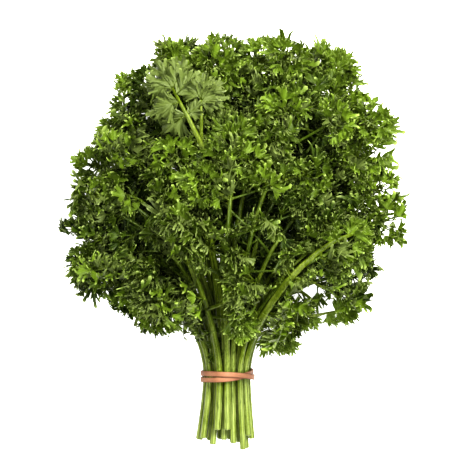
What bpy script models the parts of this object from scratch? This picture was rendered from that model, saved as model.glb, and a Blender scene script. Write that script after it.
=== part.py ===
"""A bunch of curly parsley lying on its side, held by one rubber band wound twice.

Thirty-one leafy stems stand close packed in the band, fan out above it and carry side stalks
whose crisped leaflets fill a round, flattened head. The head lies towards +Y, the cut ends
towards -Y, and the side it rests on is at z = 0.
"""

import math
import random

import bmesh
import bpy
import numpy as np
from mathutils import Vector
from mathutils.bvhtree import BVHTree

# Driving dimensions, in millimetres and degrees. The tie is at x = 0, y = 0 of the layout.
MM = 0.001
STEM_PITCH = 4.95
STEM_RADII = (1.85, 2.28)
CLUSTER_TURN = 11.0
CUT_LENGTHS = (33.0, 47.0)
CUT_SPLAY = 0.24
LEFT_SPLAY = 0.42
TIE_HEIGHT = 24.0
HEAD_HEIGHT = 54.0
HEAD_CENTRE = (5.0, 118.0)
HEAD_HALF_THICKNESS = 34.0
FLOOR = 4.0
# Reach of the head from its centre, every 20 degrees clockwise from straight ahead.
HEAD_REACH = (97, 103, 107, 110, 103, 106, 103, 105, 108, 112, 96, 108, 118, 110, 105, 98, 96, 103)
SPRAY_REACH = 12.0
OVERHANG = 2.0
SIDE_LEAN = 92.0
LEAN_RUN = 108.0
BLADE_REACH = (18.5, 24.0)
BLADE_HALF_THICKNESS = 0.95
TUBE_SIDES = 5
BAND_WIDTH = 3.4
BAND_THICKNESS = 1.1
BAND_GAP = 0.45
DISSOLVE = 1.0
BLADES_MOST = 290
SEED = 27


def clear_scene():
    for obj in list(bpy.data.objects):
        bpy.data.objects.remove(obj, do_unlink=True)


def unit(v):
    return v / max(float(np.linalg.norm(v)), 1e-9)


def smooth(t):
    t = min(max(t, 0.0), 1.0)
    return t * t * (3.0 - 2.0 * t)


# The stems: where each stands in the tie, and the line it follows.
def cluster():
    """Thirty-one close-packed places, the top ones first."""
    turn = math.radians(CLUSTER_TURN)
    places = []
    for a in range(-4, 5):
        for b in range(-4, 5):
            x = STEM_PITCH * (a + b / 2)
            z = STEM_PITCH * b * math.sqrt(3) / 2
            if math.hypot(x, z) < 2.7 * STEM_PITCH:
                across = x * math.cos(turn) - z * math.sin(turn)
                places.append((across, x * math.sin(turn) + z * math.cos(turn)))
    return sorted(places, key=lambda p: (-round(p[1], 3), p[0]))


def centre_height(y):
    """Height of the bunch's middle line: low at the cut ends, raised where the head is thick."""
    rise = TIE_HEIGHT + (HEAD_HEIGHT - TIE_HEIGHT) * smooth((y + 6.0) / 105.0)
    return rise - 5.5 * smooth(-y / 50.0) - 7.0 * smooth((y - 120.0) / 110.0)


def floor_press(z, y):
    """What would hang below the table bends along it; near the tie nothing is pressed."""
    knee = 4.0 + 22.0 * smooth(y / 75.0)
    return z if z > knee else knee * math.exp((z - knee) / knee)


def head_reach(angle):
    """Plan reach of the head in a direction given in degrees clockwise from +Y."""
    t = (angle % 360.0) / 20.0
    a = int(t) % len(HEAD_REACH)
    b = (a + 1) % len(HEAD_REACH)
    return HEAD_REACH[a] + (HEAD_REACH[b] - HEAD_REACH[a]) * (t - int(t))


def plan_depth(x, y):
    """0 at the head's middle in plan, 1 on its outline less the reach of a spray."""
    dx = x - HEAD_CENTRE[0]
    dy = y - HEAD_CENTRE[1]
    return math.hypot(dx, dy) / (head_reach(math.degrees(math.atan2(dx, dy))) - SPRAY_REACH)


def half_thickness(x, y):
    """Half the thickness of the stems' fan: the bundle's own at the tie, a dome over the head."""
    bundle = STEM_PITCH * math.sqrt(7)
    dome = bundle + (HEAD_HALF_THICKNESS - bundle) * smooth((y + 8.0) / 98.0)
    if y < 30.0:
        return dome
    fall = 1.0 - 0.62 * min(plan_depth(x, y), 1.1) ** 2.4 * smooth((y - 30.0) / 60.0)
    return dome * max(fall, 0.3)


def stem_line(place, rng):
    """(lengths, points) from the cut end to the tip; length 0 is at the tie."""
    widest = STEM_PITCH * math.sqrt(7)
    u = place[0] / widest
    w = place[1] / widest
    sway = (rng.uniform(0, 6.28), rng.uniform(0, 6.28), rng.uniform(0.6, 1.0))
    full = 1.0 - 0.26 * w * w + rng.uniform(-0.04, 0.02)
    spread = u / math.sqrt(1.0 - 0.62 * w * w)
    spread *= abs(spread) ** 0.25
    points = []
    cut = rng.uniform(*CUT_LENGTHS)
    for k in range(7, 0, -1):
        s = cut * k / 7
        fan = (s / 44.0) ** 1.4
        sideways = 1.0 + fan * (LEFT_SPLAY if place[0] < 0.0 else CUT_SPLAY)
        points.append((place[0] * sideways, -s, place[1] * (1.0 + CUT_SPLAY * fan)))
    x, y = place[0], 0.0
    s = 0.0
    step = 2.0
    run = []
    while s < 240.0 and not (s > 70.0 and plan_depth(x, y) > 1.0):
        loose = smooth(s / 70.0) * sway[2]
        z = (w + 0.09 * loose * math.sin(s / 29.0 + sway[1])) * half_thickness(x, y)
        run.append((x, y, z))
        g = 0.04 + 0.96 * min(s / LEAN_RUN, 1.18)
        a = math.radians(SIDE_LEAN) * spread * g + math.radians(5.0) * loose * math.sin(s / 26.0 + sway[0])
        x += step * math.sin(a)
        y += step * math.cos(a)
        s += step
    points += run[:max(36, round(full * len(run)))]
    line = np.array(points)
    for p in line:
        p[2] = floor_press(p[2] + centre_height(p[1]), p[1])
    ends = np.linalg.norm(np.diff(line, axis=0), axis=1)
    lengths = np.concatenate([[0.0], np.cumsum(ends)])
    return lengths - lengths[7], line


def on_line(lengths, line, s):
    """The point at length s, and the direction there."""
    p = np.array([np.interp(s, lengths, line[:, k]) for k in range(3)])
    a = np.array([np.interp(s - 1.5, lengths, line[:, k]) for k in range(3)])
    b = np.array([np.interp(s + 1.5, lengths, line[:, k]) for k in range(3)])
    return p, unit(b - a)


def stem_radius(base, s, length):
    if s < 0:
        return base * (1.0 + 0.03 * (-s / 44.0))
    return base * (1.0 - 0.56 * (s / length) ** 0.8)


# Shapes: tapered tubes and crisped blades, as (vertices, faces).
def tube(points, radii, sides, turn=0.0):
    """A closed tube along the points, its ring frame carried along without twist."""
    points = [np.array(p, float) for p in points]
    side = None
    rings = []
    for k, p in enumerate(points):
        along = unit(points[min(k + 1, len(points) - 1)] - points[max(k - 1, 0)])
        if side is None:
            side = np.cross(along, (0.0, 0.0, 1.0) if abs(along[2]) < 0.9 else (1.0, 0.0, 0.0))
        side = unit(side - along * np.dot(side, along))
        other = np.cross(along, side)
        for j in range(sides):
            a = turn + 2.0 * math.pi * j / sides
            rings.append(p + radii[k] * (math.cos(a) * side + math.sin(a) * other))
    faces = []
    for k in range(len(points) - 1):
        for j in range(sides):
            a = k * sides + j
            b = k * sides + (j + 1) % sides
            faces.append((a, b, b + sides))
            faces.append((a, b + sides, a + sides))
    last = (len(points) - 1) * sides
    for j in range(1, sides - 1):
        faces.append((0, j + 1, j))
        faces.append((last, last + j, last + j + 1))
    return np.array(rings), faces


TOOTH_TURNS = (-78, -58, -39, -19, 0, 19, 39, 58, 78)
TOOTH_REACHES = (0.86, 0.68, 0.96, 0.70, 1.0, 0.70, 0.96, 0.68, 0.86)


def fan_rim(root, axis, normal, reach, wave, grow=1.0):
    """The toothed, waved edge of a blade, from its right to its left."""
    side = np.cross(normal, axis)
    rim = []
    for k, (turn, share) in enumerate(zip(TOOTH_TURNS, TOOTH_REACHES)):
        a = math.radians(turn)
        r = reach * share * grow
        lift = reach * (0.20 * math.sin(wave + 2.1 * k) + 0.12 * share * share)
        rim.append(root + r * (math.cos(a) * axis + math.sin(a) * side) + lift * normal)
    return rim


def blade(start, root, axis, normal, reach, wave):
    """One crisped blade with its own short stalk, which begins at start and ends at root."""
    along = unit(root - start)
    low = unit(normal - along * np.dot(along, normal))
    wide = np.cross(low, along)
    ring = [0.4 * low - 0.95 * wide, 0.4 * low + 0.95 * wide, -1.15 * low]
    verts = [start + v for v in ring] + [root + v for v in ring]
    middle = root + 0.42 * reach * axis
    verts += [middle + BLADE_HALF_THICKNESS * normal, middle - BLADE_HALF_THICKNESS * normal]
    verts += fan_rim(root, axis, normal, reach, wave)
    edge = [3] + list(range(8, len(verts))) + [4]
    faces = [(0, 1, 2), (1, 0, 3), (1, 3, 4), (4, 5, 2), (4, 2, 1), (5, 3, 0), (5, 0, 2)]
    faces += [(a, b, 6) for a, b in zip(edge, edge[1:])] + [(4, 3, 6)]
    faces += [(b, a, 7) for a, b in zip(edge, edge[1:])] + [(3, 5, 7), (5, 4, 7)]
    return np.array(verts), faces


def roomy(root, axis, normal, reach, wave, spare):
    """The blade's fan with some room round it."""
    side = np.cross(normal, axis)
    rim = fan_rim(root, axis, normal, reach, wave, 1.0 + spare / 12.0)
    rim = [root - (0.95 + spare) * side] + rim + [root + (0.95 + spare) * side]
    n = len(rim)
    middle = root + 0.42 * reach * axis
    thick = BLADE_HALF_THICKNESS + spare
    verts = [p + spare * normal for p in rim] + [p - spare * normal for p in rim]
    verts += [middle + thick * normal, middle - thick * normal]
    faces = [(k, (k + 1) % n, 2 * n) for k in range(n)]
    faces += [(n + (k + 1) % n, n + k, 2 * n + 1) for k in range(n)]
    faces += [(n + k, n + (k + 1) % n, (k + 1) % n) for k in range(n)]
    faces += [(n + k, (k + 1) % n, k) for k in range(n)]
    return np.array(verts), faces


# Growing the bunch: every stalk and blade is kept clear of what other stems already hold.
class Holder:
    """Shapes already placed, each with its stem, for a quick look at what a new one would cross."""

    def __init__(self):
        self.owners = []
        self.centres = []
        self.reaches = []
        self.trees = []

    def add(self, owner, shape):
        """owner is (stem, part), with part 0 for the stem itself, and one number for each stalk."""
        verts, faces = shape
        centre = verts.mean(axis=0)
        self.owners.append(owner)
        self.centres.append(centre)
        self.reaches.append(float(np.linalg.norm(verts - centre, axis=1).max()))
        self.trees.append(BVHTree.FromPolygons([Vector(v) for v in verts], faces))

    def crossed(self, own, shape):
        """True where the shape meets anything but the parts named in own."""
        verts, faces = shape
        centre = verts.mean(axis=0)
        reach = float(np.linalg.norm(verts - centre, axis=1).max())
        gap = np.linalg.norm(np.array(self.centres) - centre, axis=1) - np.array(self.reaches) - reach
        near = [k for k in np.nonzero(gap < 0.0)[0] if self.owners[k] not in own]
        if not near:
            return False
        tree = BVHTree.FromPolygons([Vector(v) for v in verts], faces)
        return any(tree.overlap(self.trees[k]) for k in near)


def grow_bunch():
    """Every stem as a dict: its line, its stalks and its blades."""
    rng = random.Random(SEED)
    stems = []
    held = Holder()
    for index, place in enumerate(cluster()):
        lengths, line = stem_line(place, rng)
        base = rng.uniform(*STEM_RADII)
        stem = {"place": place, "lengths": lengths, "line": line, "base": base, "length": float(lengths[-1])}
        stem["seed"] = rng.random()
        stem["roll"] = math.radians(rng.uniform(-28, 28))
        stem["stalks"] = []
        stem["blades"] = []
        stems.append(stem)
        held.add((index, 0), stem_tube(stem, 0.25))
    for index, stem in enumerate(stems):
        grow_stalks(index, stem, held)
    # The outermost blades of every stem first, then the ones further in.
    most = max(len(stem["stalks"]) for stem in stems)
    for turn in range(most):
        for index, stem in enumerate(stems):
            if turn < len(stem["stalks"]):
                grow_spray(index, stem, turn, held)
    fill_gaps(stems, held, BLADES_MOST - sum(len(stem["blades"]) for stem in stems))
    return stems


def stem_tube(stem, spare=0.0):
    top = stem["length"]
    marks = [stem["lengths"][0], -12.0, 0.0] + [top * share for share in (0.16, 0.32, 0.48, 0.64, 0.82, 1.0)]
    points = [on_line(stem["lengths"], stem["line"], s)[0] for s in marks]
    verts, faces = tube(points, [stem_radius(stem["base"], s, top) + spare for s in marks], TUBE_SIDES)
    verts[:, 2] = np.maximum(verts[:, 2], FLOOR - spare)
    return verts, faces


def stem_frame(stem, s):
    """Point, direction, outward normal and sideways direction at length s."""
    p, along = on_line(stem["lengths"], stem["line"], s)
    middle = np.array([HEAD_CENTRE[0], HEAD_CENTRE[1] - 25.0, centre_height(HEAD_CENTRE[1])])
    out = p - middle
    out[2] *= 3.4
    out[1] *= 0.6
    out = unit(out + np.array([0.0, 0.0, 12.0]))
    out = unit(out - along * np.dot(along, out))
    side = np.cross(along, out)
    c, t = math.cos(stem["roll"]), math.sin(stem["roll"])
    return p, along, c * out + t * side, c * side - t * out


# Pairs of side stalks: distance back from the tip, reach, turn from the stem, blades each carries.
STALK_PLAN = (
    (14.0, 8.0, 66.0, 1),
    (35.0, 18.0, 64.0, 1),
    (58.0, 27.0, 58.0, 1),
    (84.0, 31.0, 60.0, 3),
    (108.0, 24.0, 74.0, 1),
)


def grow_stalks(index, stem, held):
    rng = random.Random(int(stem["seed"] * 1e6))
    length = stem["length"]
    # A stem from the middle of the bunch carries less where others cover it.
    deep = math.hypot(stem["place"][0], 1.15 * stem["place"][1]) < 1.8 * STEM_PITCH
    tip, along, out, side = stem_frame(stem, length)
    stem["stalks"].append({"hand": 0, "blades": 1, "part": 1, "way": along, "out": out,
                           "points": (tip - 3.0 * along, tip + 1.0 * along)})
    plan = STALK_PLAN
    if stem["place"][0] > 2.5 * STEM_PITCH:
        plan = plan + ((length - 13.0, 24.0, 58.0, 1),)
    for back, reach, turn, count in plan:
        at = length - back * rng.uniform(0.92, 1.08)
        if at < 34.0 or (deep and back > 100.0):
            continue
        count = 1 if deep else count
        for hand in (-1, 1):
            part = len(stem["stalks"]) + 1
            point, along, out, side = stem_frame(stem, at)
            for tries in range(12):
                bent = math.radians(turn + rng.uniform(-8, 8) + 2.0 * tries * rng.uniform(-1, 1))
                lift = math.radians(rng.uniform(-14, 18) + 4.0 * tries * rng.uniform(-1, 1))
                sideways = math.cos(lift) * hand * side + math.sin(lift) * out
                way = math.cos(bent) * along + math.sin(bent) * sideways
                run = reach * (1.0 - 0.05 * tries) * rng.uniform(0.9, 1.1)
                tip = point + run * way
                if tip[2] < FLOOR + 1.5:
                    way = unit(way + np.array([0.0, 0.0, (FLOOR + 1.5 - tip[2]) / run]))
                    tip = point + run * way
                if not held.crossed([(index, 0)], tube([point + 2.0 * way, tip], (1.7, 1.5), 4)):
                    stalk = {"hand": hand, "blades": count, "part": part, "way": way, "out": out,
                             "points": (point, tip)}
                    stem["stalks"].append(stalk)
                    held.add((index, part), tube([point, tip], (1.2, 1.0), 4))
                    break


def overhang(verts):
    """How far a blade's edge reaches past the head's outline in plan."""
    most = 0.0
    for p in verts[8:]:
        dx, dy = p[0] - HEAD_CENTRE[0], p[1] - HEAD_CENTRE[1]
        most = max(most, math.hypot(dx, dy) - head_reach(math.degrees(math.atan2(dx, dy))))
    return most


def grow_fan(index, stem, stalk, place, rng, held, tries_most=18, gain=None):
    """One blade on a stalk, turned and shrunk until it is clear of the others; False if it never is."""
    share, fan, neck = place
    start, root = stalk["points"]
    way, out = stalk["way"], stalk["out"]
    side = np.cross(way, out)
    own = [(index, stalk["part"])]
    if np.linalg.norm(root - start) < 10.0:
        own.append((index, 0))
    size = 1.0 if share == 1.0 else 0.88
    for tries in range(tries_most):
        loose = 6.0 + 3.0 * tries
        turn = math.radians(fan + rng.gauss(0, loose))
        axis = math.cos(turn) * way + math.sin(turn) * side
        axis = unit(axis + out * math.tan(math.radians(max(-50, min(50, rng.gauss(8, loose))))))
        roll = math.radians(rng.gauss(0, 14.0 + 3.0 * tries))
        across = np.cross(axis, out)
        normal = math.cos(roll) * np.cross(across, axis) + math.sin(roll) * across
        normal = unit(normal - axis * np.dot(axis, normal))
        reach = rng.uniform(*BLADE_REACH) * (1.0 - 0.03 * tries) * size
        wave = rng.uniform(0, 6.28)
        begin = start if share == 1.0 else start + share * (root - start)
        foot = root if share == 1.0 else begin + neck * axis
        verts, faces = blade(begin, foot, axis, normal, reach, wave)
        if verts[:, 2].min() < FLOOR - 3.5 - 0.12 * tries or overhang(verts) > OVERHANG + 0.3 * tries:
            continue
        if gain is not None and not gain(verts):
            continue
        room, room_faces = roomy(foot, axis, normal, reach, wave, 0.3)
        room[:, 2] = np.maximum(room[:, 2], FLOOR - 0.2)
        if held.crossed(own, (room, room_faces)):
            continue
        verts[:, 2] = np.maximum(verts[:, 2], FLOOR)
        verts[6, 2] = max(verts[6, 2], FLOOR + 1.3)
        held.add((index, stalk["part"]), (verts, faces))
        stem["blades"].append({"start": begin, "root": foot, "axis": axis, "normal": normal,
                               "reach": reach, "wave": wave, "shape": (verts, faces)})
        return True
    return False


def grow_spray(index, stem, which, held):
    """The blades of one stalk: one at its end and, on a long stalk, two more along it."""
    stalk = stem["stalks"][which]
    rng = random.Random(int(stem["seed"] * 1e6) + 97 * which)
    places = [(1.0, 0.0, 0.0), (0.45, 60.0 * stalk["hand"], 3.0), (0.62, -58.0 * stalk["hand"], 3.0)]
    for place in places[:stalk["blades"]]:
        if not grow_fan(index, stem, stalk, place, rng, held) and place[0] == 1.0:
            break


class Cover:
    """What the blades cover of the head as it is seen from above, in cells of four millimetres."""

    CELL = 4.0

    def __init__(self):
        self.seen = np.zeros((90, 90), bool)
        self.wanted = np.zeros((90, 90), bool)
        for i in range(90):
            for j in range(90):
                x, y = (i - 45) * self.CELL, (j - 20) * self.CELL
                reach = head_reach(math.degrees(math.atan2(x - HEAD_CENTRE[0], y - HEAD_CENTRE[1])))
                self.wanted[i, j] = math.hypot(x - HEAD_CENTRE[0], y - HEAD_CENTRE[1]) < reach

    def cells(self, verts):
        rim, middle = verts[8:], verts[6]
        points = [middle + share * (p - middle) for p in rim for share in (0.15, 0.5, 0.85)]
        i = np.clip([round(p[0] / self.CELL) + 45 for p in points], 0, 89)
        j = np.clip([round(p[1] / self.CELL) + 20 for p in points], 0, 89)
        return np.unique(np.stack([i, j], axis=1), axis=0)

    def mark(self, verts):
        cells = self.cells(verts)
        self.seen[cells[:, 0], cells[:, 1]] = True

    def gain(self, verts):
        cells = self.cells(verts)
        new = self.wanted[cells[:, 0], cells[:, 1]] & ~self.seen[cells[:, 0], cells[:, 1]]
        return int(new.sum())


def fill_gaps(stems, held, most):
    """More stalks with one blade each, where the head would show a gap from above."""
    rng = random.Random(SEED + 1)
    cover = Cover()
    for stem in stems:
        for made in stem["blades"]:
            cover.mark(made["shape"][0])
    added = 0
    for needed in (9, 7, 5):
        for trial in range(5200):
            if added >= most:
                return
            index = rng.randrange(len(stems))
            stem = stems[index]
            at = rng.uniform(46.0, stem["length"] - 4.0)
            point, along, out, side = stem_frame(stem, at)
            hand = rng.choice((-1, 1))
            bent = math.radians(rng.uniform(28, 82))
            lift = math.radians(rng.uniform(-35, 55))
            sideways = math.cos(lift) * hand * side + math.sin(lift) * out
            way = math.cos(bent) * along + math.sin(bent) * sideways
            run = rng.uniform(7.0, 36.0)
            tip = point + run * way
            spot = tip + 9.0 * way
            cell = round(spot[0] / 4.0) + 45, round(spot[1] / 4.0) + 20
            if tip[2] < FLOOR + 2.0 or not cover.wanted[cell] or cover.seen[cell]:
                continue
            if held.crossed([(index, 0)], tube([point + 2.0 * way, tip], (1.7, 1.5), 4)):
                continue
            stalk = {"hand": hand, "blades": 1, "part": 100 + trial, "way": way, "out": out,
                     "points": (point, tip)}
            if grow_fan(index, stem, stalk, (1.0, 0.0, 0.0), rng, held, 8, lambda v: cover.gain(v) >= needed):
                held.add((index, stalk["part"]), tube([point, tip], (1.2, 1.0), 4))
                cover.mark(stem["blades"][-1]["shape"][0])
                added += 1


# The rubber band: one loop wound twice round the close-packed stems.
def band_line(stems):
    """Stations (point, outward direction) along both turns."""
    ring = []
    for stem in stems:
        for y in (-4.0, 0.0, 4.0):
            p, _ = on_line(stem["lengths"], stem["line"], y)
            for k in range(24):
                a = 2.0 * math.pi * k / 24
                across = p[0] + stem["base"] * math.cos(a)
                ring.append((across, p[2] - TIE_HEIGHT + stem["base"] * math.sin(a)))
    ring = np.array(ring)
    # Reach of the tight wrap, from the support lines of everything inside.
    turns = np.radians(np.arange(0, 360, 5))
    ways = np.stack([np.cos(turns), np.sin(turns)], axis=1)
    support = (ring @ ways.T).max(axis=0)
    wrap = [min(support[j] / max(math.cos(t - turns[j]), 1e-3) for j in range(len(turns))
                if math.cos(t - turns[j]) > 0.5) for t in turns]
    wrap = np.array(wrap)
    wrap = (np.roll(wrap, 1) + 2.0 * wrap + np.roll(wrap, -1)) / 4.0
    stations = []
    count = 68
    cross_at = math.radians(52.0)
    for k in range(count):
        t = 4.0 * math.pi * k / count
        place = cross_at + math.pi + t
        around = place % (2 * math.pi)
        reach = float(np.interp(around, np.append(turns, 2 * math.pi), np.append(wrap, wrap[0])))
        apart = math.tanh(3.0 * math.cos(t / 2.0)) / math.tanh(3.0)
        off = t - 3.0 * math.pi
        rise = (BAND_THICKNESS + 0.45) * smooth(1.0 - (abs(off) - 0.62) / 0.55) if abs(off) < 1.2 else 0.0
        out = np.array([math.cos(place), 0.0, math.sin(place)])
        y = 2.05 * apart + 0.6 * math.cos(place)
        radius = reach + BAND_GAP + 0.5 * BAND_THICKNESS + 0.12 + rise
        stations.append((np.array([0.0, y, TIE_HEIGHT]) + radius * out, out))
    return stations


def band_shape(stations):
    """A flat strip with rounded edges along the stations, joined into one loop."""
    w, t = BAND_WIDTH / 2, BAND_THICKNESS / 2
    section = [(-w, 0.0), (-0.72 * w, t), (0.72 * w, t), (w, 0.0), (0.72 * w, -t), (-0.72 * w, -t)]
    n = len(section)
    verts = []
    for k, (p, out) in enumerate(stations):
        ahead = stations[(k + 1) % len(stations)][0]
        behind = stations[k - 1][0]
        along = unit(ahead - behind)
        across = unit(np.cross(along, out))
        up = np.cross(across, along)
        for a, b in section:
            verts.append(p + a * across + b * up)
    faces = []
    for k in range(len(stations)):
        m = (k + 1) % len(stations)
        for j in range(n):
            a, b = k * n + j, k * n + (j + 1) % n
            c, d = m * n + (j + 1) % n, m * n + j
            faces.append((a, b, c))
            faces.append((a, c, d))
    return np.array(verts), faces


# Meshes and joining.
def mesh_object(name, shape, shift):
    verts, faces = shape
    mesh = bpy.data.meshes.new(name)
    mesh.from_pydata([tuple((v - shift) * MM) for v in verts], [], [tuple(int(i) for i in f) for f in faces])
    mesh.validate()
    obj = bpy.data.objects.new(name, mesh)
    bpy.context.scene.collection.objects.link(obj)
    return obj


def face_out(shape):
    """The shape with its faces turned so that it holds a positive volume."""
    verts, faces = shape
    f = np.array(faces)
    a, b, c = verts[f[:, 0]], verts[f[:, 1]], verts[f[:, 2]]
    if np.einsum("ij,ij->i", a, np.cross(b, c)).sum() < 0:
        faces = [tuple(reversed(face)) for face in faces]
    return verts, faces


def stem_shapes(stem):
    """The stem itself, then its blades, each with its stalk."""
    shapes = [stem_tube(stem)]
    return [face_out(s) for s in shapes + [b["shape"] for b in stem["blades"]]]


def largest_body(mesh):
    """The mesh's largest connected body, which leaves out loose scraps and sealed hollows."""
    count = len(mesh.vertices)
    parent = np.arange(count)
    edges = np.empty(len(mesh.edges) * 2, np.int32)
    mesh.edges.foreach_get("vertices", edges)
    edges = edges.reshape(-1, 2)
    for _ in range(200):
        low = np.minimum(parent[edges[:, 0]], parent[edges[:, 1]])
        before = parent.copy()
        np.minimum.at(parent, edges[:, 0], low)
        np.minimum.at(parent, edges[:, 1], low)
        parent = parent[parent]
        if (parent == before).all():
            break
    points = np.empty(count * 3, np.float32)
    mesh.vertices.foreach_get("co", points)
    points = points.reshape(-1, 3)
    polygons = [tuple(p.vertices) for p in mesh.polygons]
    spans = {}
    for body in np.unique(parent):
        inside = points[parent == body]
        spans[body] = float(np.prod(inside.max(axis=0) - inside.min(axis=0) + 1e-5))
    best = max(spans, key=spans.get)
    keep = np.nonzero(parent == best)[0]
    place = {int(v): k for k, v in enumerate(keep)}
    faces = [tuple(place[v] for v in p) for p in polygons if p[0] in place]
    return [tuple(float(c) for c in points[v]) for v in keep], faces, len(spans)


def joined(name, shapes, shift):
    """One solid from many closed shapes, by a single Boolean union."""
    body = mesh_object(name, shapes[0], shift)
    repeats = bpy.data.collections.new(name + "_repeats")
    bpy.context.scene.collection.children.link(repeats)
    for k, shape in enumerate(shapes[1:]):
        piece = mesh_object(f"{name}_repeat_{k}", shape, shift)
        bpy.context.scene.collection.objects.unlink(piece)
        repeats.objects.link(piece)
    union = body.modifiers.new("union", "BOOLEAN")
    union.operation = "UNION"
    union.operand_type = "COLLECTION"
    union.collection = repeats
    union.solver = "MANIFOLD"
    bpy.context.view_layer.update()
    graph = bpy.context.evaluated_depsgraph_get()
    made = bpy.data.meshes.new_from_object(body.evaluated_get(graph))
    verts, faces, bodies = largest_body(made)
    mesh = bpy.data.meshes.new(name)
    mesh.from_pydata(verts, [], faces)
    flat = bmesh.new()
    flat.from_mesh(mesh)
    bmesh.ops.dissolve_limit(flat, angle_limit=math.radians(DISSOLVE), verts=flat.verts, edges=flat.edges)
    bmesh.ops.triangulate(flat, faces=flat.faces, quad_method="BEAUTY", ngon_method="BEAUTY")
    flat.to_mesh(mesh)
    flat.free()
    for piece in list(repeats.objects):
        bpy.data.objects.remove(piece, do_unlink=True)
    bpy.data.collections.remove(repeats)
    bpy.data.objects.remove(body, do_unlink=True)
    obj = bpy.data.objects.new(name, mesh)
    bpy.context.scene.collection.objects.link(obj)
    return obj, bodies


def material(name, colour, rough):
    made = bpy.data.materials.new(name)
    made.use_nodes = True
    shader = made.node_tree.nodes["Principled BSDF"]
    shader.inputs["Base Color"].default_value = (*colour, 1.0)
    shader.inputs["Roughness"].default_value = rough
    return made


def main():
    clear_scene()
    stems = grow_bunch()
    shapes = [stem_shapes(stem) for stem in stems]
    points = np.concatenate([s[0] for parts in shapes for s in parts])
    low, high = points.min(axis=0), points.max(axis=0)
    shift = np.array([(low[0] + high[0]) / 2, (low[1] + high[1]) / 2, low[2]])
    for k, parts in enumerate(shapes):
        name = f"leafy_stem_{k + 1:02d}"
        obj, bodies = joined(name, parts, shift)
        tone = 0.85 + 0.3 * random.Random(k).random()
        obj.data.materials.append(material("leaf_" + name, (0.075 * tone, 0.135 * tone, 0.016), 0.5))
        print(name, "blades", len(stems[k]["blades"]), "stalks", len(stems[k]["stalks"]), "bodies", bodies,
              "faces", len(obj.data.polygons), "length", round(stems[k]["length"]))
    band = mesh_object("rubber_band", face_out(band_shape(band_line(stems))), shift)
    band.data.materials.append(material("band_rubber", (0.63, 0.29, 0.135), 0.55))
    print("shift", shift, "size", high - low, "blades", sum(len(s["blades"]) for s in stems))


main()
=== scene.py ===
# %% [markdown]
# # A bunch of curly parsley, lying down
#
# Thirty-one leafy stems stand in a rubber band wound twice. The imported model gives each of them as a
# plain solid. This lesson grows the real look on the same places: ridged stems, crisped and toothed
# leaflets, and the stretched band. Lengths in the growing rules are in millimetres, as in the packed
# part's own rules, and become metres when a mesh is made.

# %% Open the frame
import random
from math import atan2, copysign, cos, degrees, exp, hypot, pi, radians, sin, sqrt, tan, tanh
from types import SimpleNamespace

import bpy
import numpy as np
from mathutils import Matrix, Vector
from mathutils.bvhtree import BVHTree
from numpy.linalg import norm


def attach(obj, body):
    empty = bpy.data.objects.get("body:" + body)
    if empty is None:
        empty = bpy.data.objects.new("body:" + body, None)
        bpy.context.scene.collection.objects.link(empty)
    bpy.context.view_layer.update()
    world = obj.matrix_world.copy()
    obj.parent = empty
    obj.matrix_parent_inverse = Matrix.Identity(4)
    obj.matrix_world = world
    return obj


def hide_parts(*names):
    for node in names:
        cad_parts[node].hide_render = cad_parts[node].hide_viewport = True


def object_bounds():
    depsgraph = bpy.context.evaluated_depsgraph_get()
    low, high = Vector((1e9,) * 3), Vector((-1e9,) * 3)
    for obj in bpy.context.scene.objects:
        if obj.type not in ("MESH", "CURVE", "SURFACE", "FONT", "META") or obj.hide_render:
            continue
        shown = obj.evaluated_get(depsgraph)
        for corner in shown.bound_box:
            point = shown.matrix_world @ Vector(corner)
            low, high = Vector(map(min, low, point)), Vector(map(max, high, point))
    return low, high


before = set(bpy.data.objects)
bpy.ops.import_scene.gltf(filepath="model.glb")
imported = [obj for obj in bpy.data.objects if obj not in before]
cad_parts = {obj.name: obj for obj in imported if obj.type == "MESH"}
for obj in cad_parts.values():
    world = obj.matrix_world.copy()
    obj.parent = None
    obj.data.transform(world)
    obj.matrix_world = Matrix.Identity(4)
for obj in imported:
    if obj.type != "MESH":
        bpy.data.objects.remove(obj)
cad_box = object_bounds()
MM = 0.001
print("packed bunch, m:", [round(b - a, 4) for a, b in zip(*cad_box)], "nodes:", len(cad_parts))

# %% [markdown]
# ## The camera
#
# The bunch is seen from straight above, with a long lens from far off, so that the near leaves are
# hardly larger than the far ones. A close, wide lens would swell the top of the head.

# %% Camera straight above
VIEW_WIDTH = 0.2986
LEAF_LEVEL = 0.05
CAMERA_PLACE = (0.0025, 0.0032, 1.5)


def stand(name, data, place=(0, 0, 0)):
    """A new object in the scene."""
    obj = bpy.data.objects.new(name, data)
    obj.location = place
    bpy.context.scene.collection.objects.link(obj)
    return obj


lens = bpy.data.cameras.new("camera")
lens.lens = lens.sensor_width * (CAMERA_PLACE[2] - LEAF_LEVEL) / VIEW_WIDTH
lens.clip_end = 20.0
bpy.context.scene.camera = stand("camera", lens, CAMERA_PLACE)
print("lens, mm:", round(lens.lens, 1))

# %% [markdown]
# ## The table and the light
#
# A plain pale top, lit a little from within, and three wide lamps do as a light tent does. They give
# soft shade between the leaves; one small lamp would make hard, busy shadows. The strongest lamp stands
# beyond the head and to the right, so that leaf edges catch it.

# %% Table top and lamps
TOP_HALF = 3.0
# Each lamp: its name, place, the height it aims at, width, watts, tint.
LAMPS = (("key_lamp", (0.55, 0.85, 1.4), 0.05, 0.45, 60, (1, 0.985, 0.94)),
         ("fill_lamp", (0.55, -0.65, 1.4), 0.05, 0.9, 15, (0.97, 0.99, 1)),
         ("top_lamp", (-0.45, 0, 2), 0, 0.9, 27, (1, 1, 1)))


def new_material(name):
    """A material, its node tree, and its Principled BSDF."""
    made = bpy.data.materials.new(name)
    made.use_nodes = True
    return made, made.node_tree, made.node_tree.nodes["Principled BSDF"]


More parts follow.
